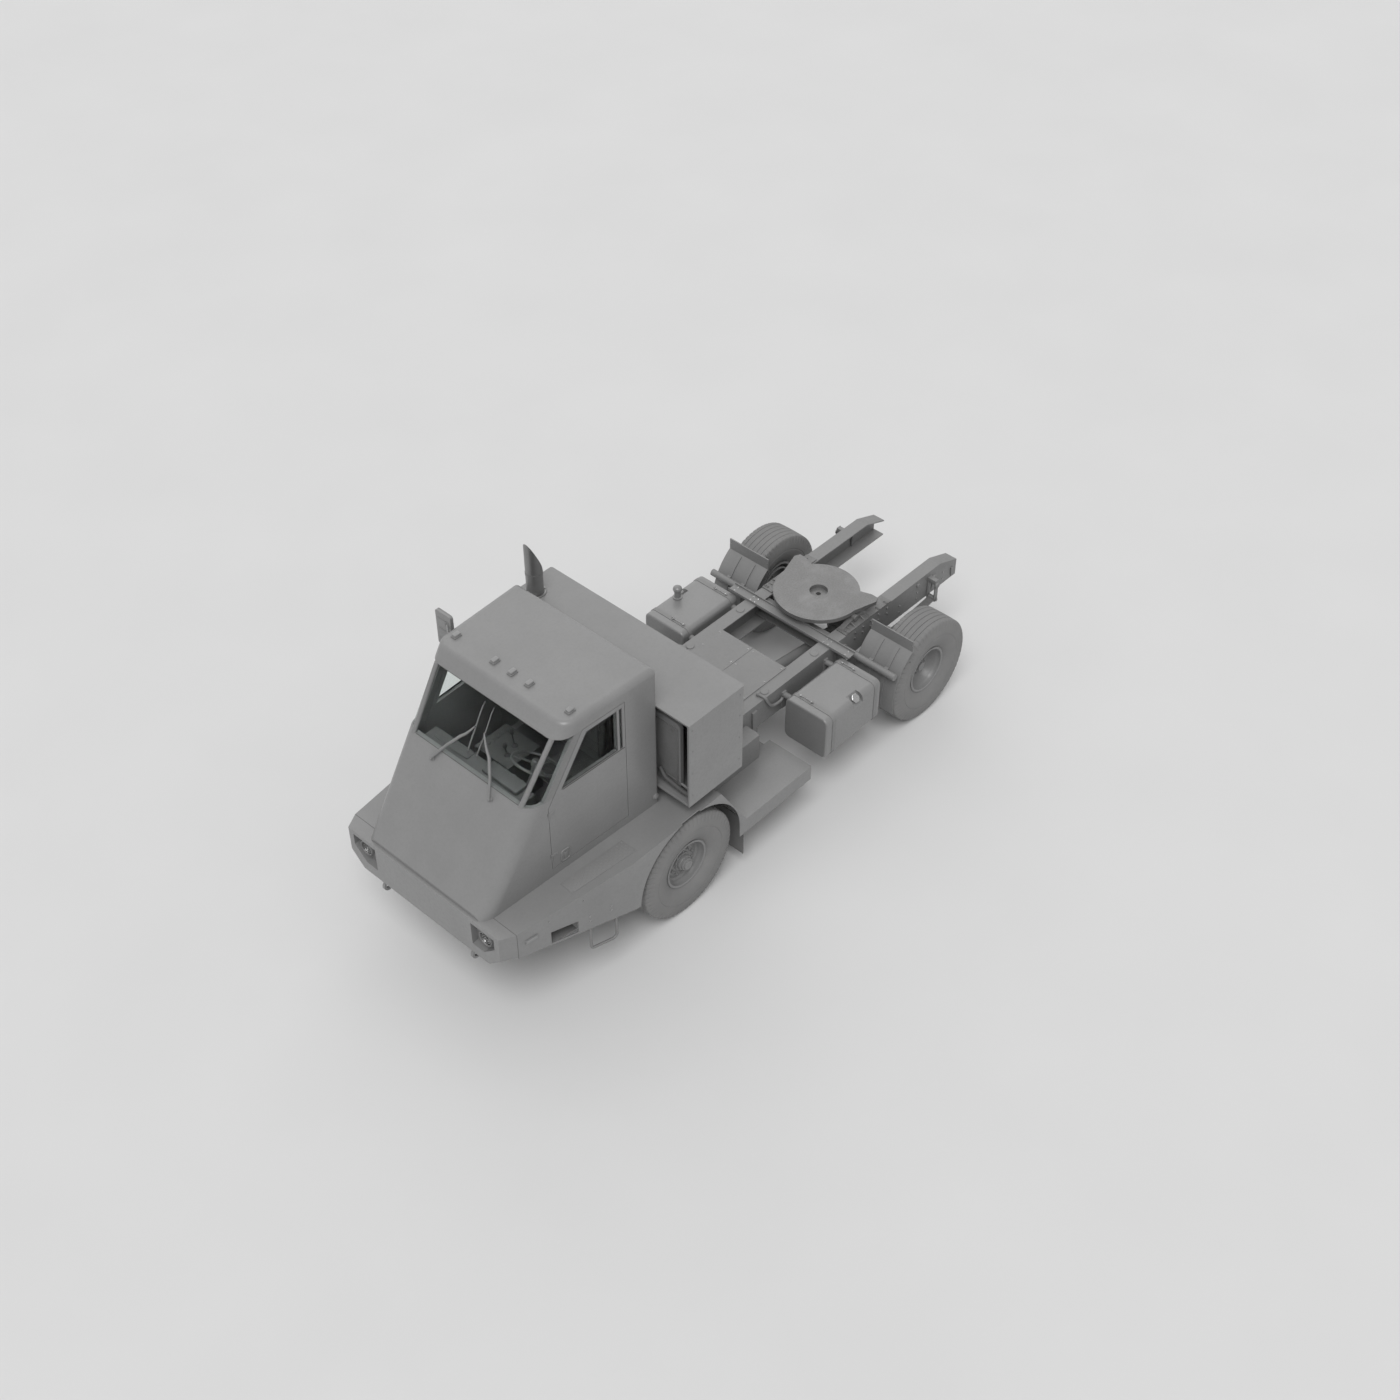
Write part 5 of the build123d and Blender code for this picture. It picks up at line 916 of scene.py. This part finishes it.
jaw.tube([(-2.197, 0.06, UNDER - 0.019), (-2.197, 0.35, UNDER - 0.019)], 0.009, 12)
jaw.ring([(0, 0.015), (0.02, 0.0165), (0.055, 0.0165), (0.062, 0.01), (0.063, 0.0)],
         ((-2.197, 0.34, UNDER - 0.019), LEFT), 20, False)
for y in (-0.3, 0.3):
    jaw.box((-2.16, y - 0.012, UNDER - 0.026), (-1.65, y + 0.012, UNDER - 0.0005), 0.003)
jaw.make("jaw_lever", CAST, "fifth_wheel")

# ---- exhaust stack: a thin tube whose mouth is cut on a long slant
ANGLES = [2 * math.pi * i / 64 for i in range(64)]
CUT = [3.077 - 0.39 * (1 - math.cos(a)) / 2 for a in ANGLES]
pipe = Pile()
points = []
for radius, heights in ((0.079, [2.5] * 64), (0.079, CUT), (0.0835, CUT), (0.0837, [z - 0.004 for z in CUT]),
                        (0.0837, [2.4605] * 64)):
    points += [(STACK_X + radius * math.cos(a), STACK_Y + radius * math.sin(a), z)
               for a, z in zip(ANGLES, heights)]
pipe.add(points, skin(5, 64, False) + [tuple(reversed(range(64)))])
pipe.ring([(0.0005, 0.084), (0.0005, 0.1085), (0.012, 0.1085), (0.0155, 0.105), (0.0155, 0.084)],
          ((STACK_X, STACK_Y, 2.46), UP), 64)
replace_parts(pipe.make("stack_pipe", STACK), "exhaust_stack")

# ---- springs: separate leaves with eyes and shaped hangers
# rows: x, y, top of the pack, half span, sag, hanger's top, hanger's inner and outer y
SPRINGS = [(FRONT_X, 0.501, 0.69, 0.56, 0.05, 0.79, 0.456, 0.546),
           (REAR_X, 0.64, 0.755, 0.76, 0.04, 1.05, 0.5755, 0.685)]
# The foot of a hanger's plates, as (x, z) from the eye
HANGER_FOOT = ((-0.027, 0), (-0.02, -0.024), (0, -0.03), (0.02, -0.024), (0.027, 0))
leaves, hangers = Pile(), Pile()
for x, y, top, span, sag, hang_top, y0, y1 in SPRINGS:
    big = (span ** 2 + sag ** 2) / (2 * sag)
    for i in range(5):
        reach = math.asin(span * (1 - 0.17 * i) / big)
        inner, outer = big + i * 0.016 + 0.0006, big + (i + 1) * 0.016 - 0.0006
        steps = [reach * (2 * k / 16 - 1) for k in range(17)]
        points = []
        for k, a in enumerate(steps):
            ease = 0.004 if k in (0, 16) else 0.0
            for r, w in ((inner, 0.0435), (inner, -0.0435), (outer, -0.0435 + ease), (outer, 0.0435 - ease)):
                points.append((x + r * math.sin(a), y + w, top + big - r * math.cos(a)))
        leaves.add(points, skin(17, 4, False) + [(0, 1, 2, 3), (67, 66, 65, 64)])
    for end in (-1, 1):
        eye = Vector((x + end * (span + 0.02), y, top + sag - 0.008))
        leaves.ring([(-0.044, 0.0295), (0.044, 0.0295), (0.044, 0.015), (-0.044, 0.015)], (eye, LEFT), 28)
        hangers.rod(eye + Vector((0, -0.052, 0)), eye + Vector((0, 0.052, 0)), 0.0148, 18)
        edge = [(eye.x + a, eye.z + b) for a, b in HANGER_FOOT]
        edge += [(eye.x + 0.028, hang_top), (eye.x - 0.028, hang_top)]
        for low, high in ((y0, y0 + 0.014), (y1 - 0.014, y1)):
            hangers.plate([(a, low, b) for a, b in edge], LEFT, high - low, 0.002)
        hangers.box((eye.x - 0.026, y0 + 0.01, hang_top - 0.055),
                    (eye.x + 0.026, y1 - 0.01, hang_top - 0.001), 0.004)
    hangers.box((x - 0.074, y - 0.056, top - 0.0795), (x + 0.074, y + 0.056, top - 0.0685), 0.003)
    hangers.box((x - 0.074, y - 0.056, top + 0.001), (x + 0.074, y + 0.056, top + 0.0175), 0.003)
leaves.flip_y()
hangers.flip_y()
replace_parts(leaves.make("spring_leaves", CAST), "springs")
hangers.make("spring_hangers", CHASSIS)

# ---- cab inside: dials, switches, levers, pedals, mat, wheel hub and seat slides
dash, dials, levers, mat = Pile(), Pile(), Pile(), Pile()
dash.box((2.7, 0.09, 2.1855), (2.85, 0.53, 2.232), 0.014)
dash.box((2.728, -0.56, 2.1855), (2.83, -0.12, 2.196), 0.004)
for i, radius in enumerate((0.017, 0.0205, 0.0205, 0.017)):
    place = ((2.7005, 0.16 + i * 0.1, 2.209), (-1, 0, 0))
    dash.ring([(0, radius + 0.002), (0.004, radius + 0.002), (0.006, radius), (0.004, radius - 0.003),
               (0, radius - 0.003)], place, 28)
    dials.ring([(0.001, radius - 0.003), (0.0015, 0.0)], place, 28, False)
for i in range(7):
    y = -0.08 - i * 0.055
    dash.box((2.716, y - 0.016, 2.135), (2.7255, y + 0.016, 2.16), 0.003)
for i in range(5):
    dash.box((2.1 + i * 0.055, -0.42, 1.8495), (2.135 + i * 0.055, -0.38, 1.86), 0.004)
for x, y, tall in ((2.2, -0.2, 0.17), (2.33, -0.16, 0.12)):
    levers.rod((x, y, 1.8495), (x + 0.02, y, 1.85 + tall), 0.007, 14)
    levers.ring([(0, 0.01), (0.01, 0.02), (0.03, 0.024), (0.048, 0.018), (0.055, 0.008), (0.056, 0.0)],
                ((x + 0.02, y, 1.84 + tall), UP), 20, False)
    levers.ring([(0, 0.034), (0.008, 0.03), (0.012, 0.024), (0.018, 0.022), (0.022, 0.014), (0.03, 0.008)],
                ((x, y, 1.8495), UP), 24, False)
for y, wide in ((0.2, 0.03), (0.43, 0.045)):
    levers.box((2.915, y - wide, 1.45), (2.925, y + wide, 1.53), 0.004)
    levers.rod((2.92, y, 1.46), (2.98, y, 1.335), 0.007, 12)
mat.box((1.52, -0.76, 1.3255), (2.8, 0.76, 1.3315), 0.002)
for i in range(22):
    mat.box((2.1 + i * 0.03, 0.06, 1.331), (2.112 + i * 0.03, 0.6, 1.3345), 0.001)
column = ((2.4, 0.31, 2.105), (2.4 - 2.83, 0, 2.105 - 1.325))
dash.ring([(0.0198, 0.046), (0.026, 0.046), (0.036, 0.04), (0.042, 0.026), (0.043, 0.0)], column, 36, False)
for start in (-0.055, -0.085, -0.115):
    dash.ring([(start, 0.026), (start + 0.005, 0.029), (start + 0.015, 0.029), (start + 0.02, 0.026)],
              column, 28)
for y in (0.17, 0.45):
    mat.box((1.74, y - 0.018, 1.3315), (2.16, y + 0.018, 1.352), 0.003)
dash.make("dash_fittings", SHADED_PLASTIC)
dials.make("dials", LAMP)
levers.make("levers_and_pedals", SHADED_TRIM)
mat.make("floor_mat", FLAP)


# ---- seat: cushion and back, inflated in a cloth simulation, then seams
def pad(name, node, lo, hi, corner, bulge):
    """A padded block. It starts a little small, is swollen by cloth pressure and keeps to its place."""
    size = [b - a - 2 * bulge for a, b in zip(lo, hi)]
    mid = Vector([(a + b) / 2 for a, b in zip(lo, hi)])
    built = block(size, corner, 4)
    bmesh.ops.translate(built, vec=mid, verts=built.verts)
    mesh = bpy.data.meshes.new(name)
    built.to_mesh(mesh)
    built.free()
    piece = add_object(name, mesh)
    mesh.materials.append(CLOTH)
    remesh = piece.modifiers.new("remesh", "REMESH")
    remesh.mode = "VOXEL"
    remesh.voxel_size = 0.006
    apply_all(piece)
    start = [v.co.copy() for v in piece.data.vertices]
    cloth = piece.modifiers.new("cloth", "CLOTH")
    cloth.settings.use_pressure = True
    cloth.settings.uniform_pressure_force = 4
    cloth.settings.effector_weights.gravity = 0
    cloth.settings.tension_stiffness = 15
    cloth.settings.bending_stiffness = 0.5
    for number in range(1, 21):
        bpy.context.scene.frame_set(number)
    apply_all(piece)
    bpy.context.scene.frame_set(1)
    for v, rest in zip(piece.data.vertices, start):
        move = v.co - rest
        if move.length > bulge * 1.6:
            v.co = rest + move.normalized() * bulge * 1.6
    sew(piece.data, lo, hi)
    smooth = piece.modifiers.new("smooth", "SUBSURF")
    smooth.levels = smooth.render_levels = 1
    apply_all(piece)
    for v in piece.data.vertices:
        v.co = Vector([min(max(c, a), b) for c, a, b in zip(v.co, lo, hi)])
    piece.data.shade_smooth()
    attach(piece, "root")
    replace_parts(piece, node)


def apply_all(piece):
    """Puts the result of the modifiers in the mesh."""
    depsgraph = bpy.context.evaluated_depsgraph_get()
    mesh = bpy.data.meshes.new_from_object(piece.evaluated_get(depsgraph))
    piece.modifiers.clear()
    piece.data = mesh


def sew(mesh, lo, hi):
    """Presses sewn channels into the side that is sat on: three across, and a seam that runs round."""
    upright = hi[2] - lo[2] > hi[0] - lo[0]
    along = 2 if upright else 0
    out = 0 if upright else 2
    mid_out = (lo[out] + hi[out]) / 2
    places = [lo[along] + (hi[along] - lo[along]) * part for part in (0.28, 0.5, 0.72)]
    for v in mesh.vertices:
        if v.co[out] < mid_out:
            continue
        across = (v.co[1] - (lo[1] + hi[1]) / 2) / ((hi[1] - lo[1]) / 2)
        inside = min(1.0, max(0.0, (0.8 - abs(across)) / 0.1))
        depth = sum(math.exp(-((v.co[along] - p) / 0.007) ** 2) for p in places) * inside
        run = math.exp(-((abs(across) - 0.8) / 0.028) ** 2)
        v.co[out] -= 0.009 * min(1.0, depth + run)


pad("seat_cushion_pad", "seat_cushion", (1.7105, 0.071, 1.6605), (2.1895, 0.549, 1.769), 0.026, 0.009)
pad("seat_back_pad", "seat_back", (1.7105, 0.071, 1.7705), (1.8095, 0.549, 2.329), 0.026, 0.009)
seat_trim = Pile()
corners = ((1.725, 0.085), (2.176, 0.085), (2.176, 0.535), (1.725, 0.535))
seat_trim.tube(ring_of([(x, y, 1.664) for x, y in corners]), 0.0045, 8, 0.03)
seat_trim.make("seat_piping", CLOTH)

# ---- driveline: bolts of the flanges
joints = Pile()
for x, y, z, way in ((-0.94, 0.08, 0.76, -1), (-2.035, 0.08, 0.61, 1)):
    joints.bolts((x + way * 0.0162,), (y + 0.045, y - 0.045), (z + 0.045, z - 0.045), (way, 0, 0),
                 0.01, 0.008)
joints.make("shaft_bolts", BRIGHT, slot="cast_metal")


# ---- floor, world and light
floor_mesh = bpy.data.meshes.new("floor")
floor_mesh.from_pydata([(-60, -60, 0), (60, -60, 0), (60, 60, 0), (-60, 60, 0)], [], [(0, 1, 2, 3)])
floor = add_object("floor", floor_mesh)
floor.location.z = -0.002
floor_paint, floor_tree, floor_shader = new_material("floor")
floor_tone = mix_colours(floor_tree, noise(floor_tree, 0.6, 3), (0.66, 0.66, 0.66), (0.7, 0.7, 0.7))
feed(floor_tree, floor_shader, {"Base Color": floor_tone, "Roughness": 0.9})
floor.data.materials.append(floor_paint)

world = bpy.data.worlds.new("world")
bpy.context.scene.world = world
world.use_nodes = True
sky = world.node_tree
sky.nodes.clear()
lit = shade(sky, "Background", {"Color": (1, 1, 1, 1), "Strength": 0.5}, 0)
seen = shade(sky, "Background", {"Color": (0.72, 0.72, 0.72, 1), "Strength": 1.0}, 0)
rays = sky.nodes.new("ShaderNodeLightPath").outputs
either = calc(sky, "MAXIMUM", rays["Is Camera Ray"], rays["Is Glossy Ray"])
either = calc(sky, "MAXIMUM", either, rays["Is Transmission Ray"])
blend = shade(sky, "MixShader", {0: either, 1: lit, 2: seen}, 0)
feed(sky, sky.nodes.new("ShaderNodeOutputWorld"), {"Surface": blend})

# rows: name, direction to the light, strength, softness in degrees
for name, way, strength, softness in (("key", (0.5, 0.35, 1.0), 1.6, 35),
                                      ("fill", (-0.6, -0.8, 0.8), 0.45, 60)):
    sun_data = bpy.data.lights.new(name, "SUN")
    sun_data.energy = strength
    sun_data.angle = math.radians(softness)
    sun = add_object(name, sun_data)
    sun.rotation_mode = "QUATERNION"
    sun.rotation_quaternion = Vector(way).to_track_quat("Z", "Y")
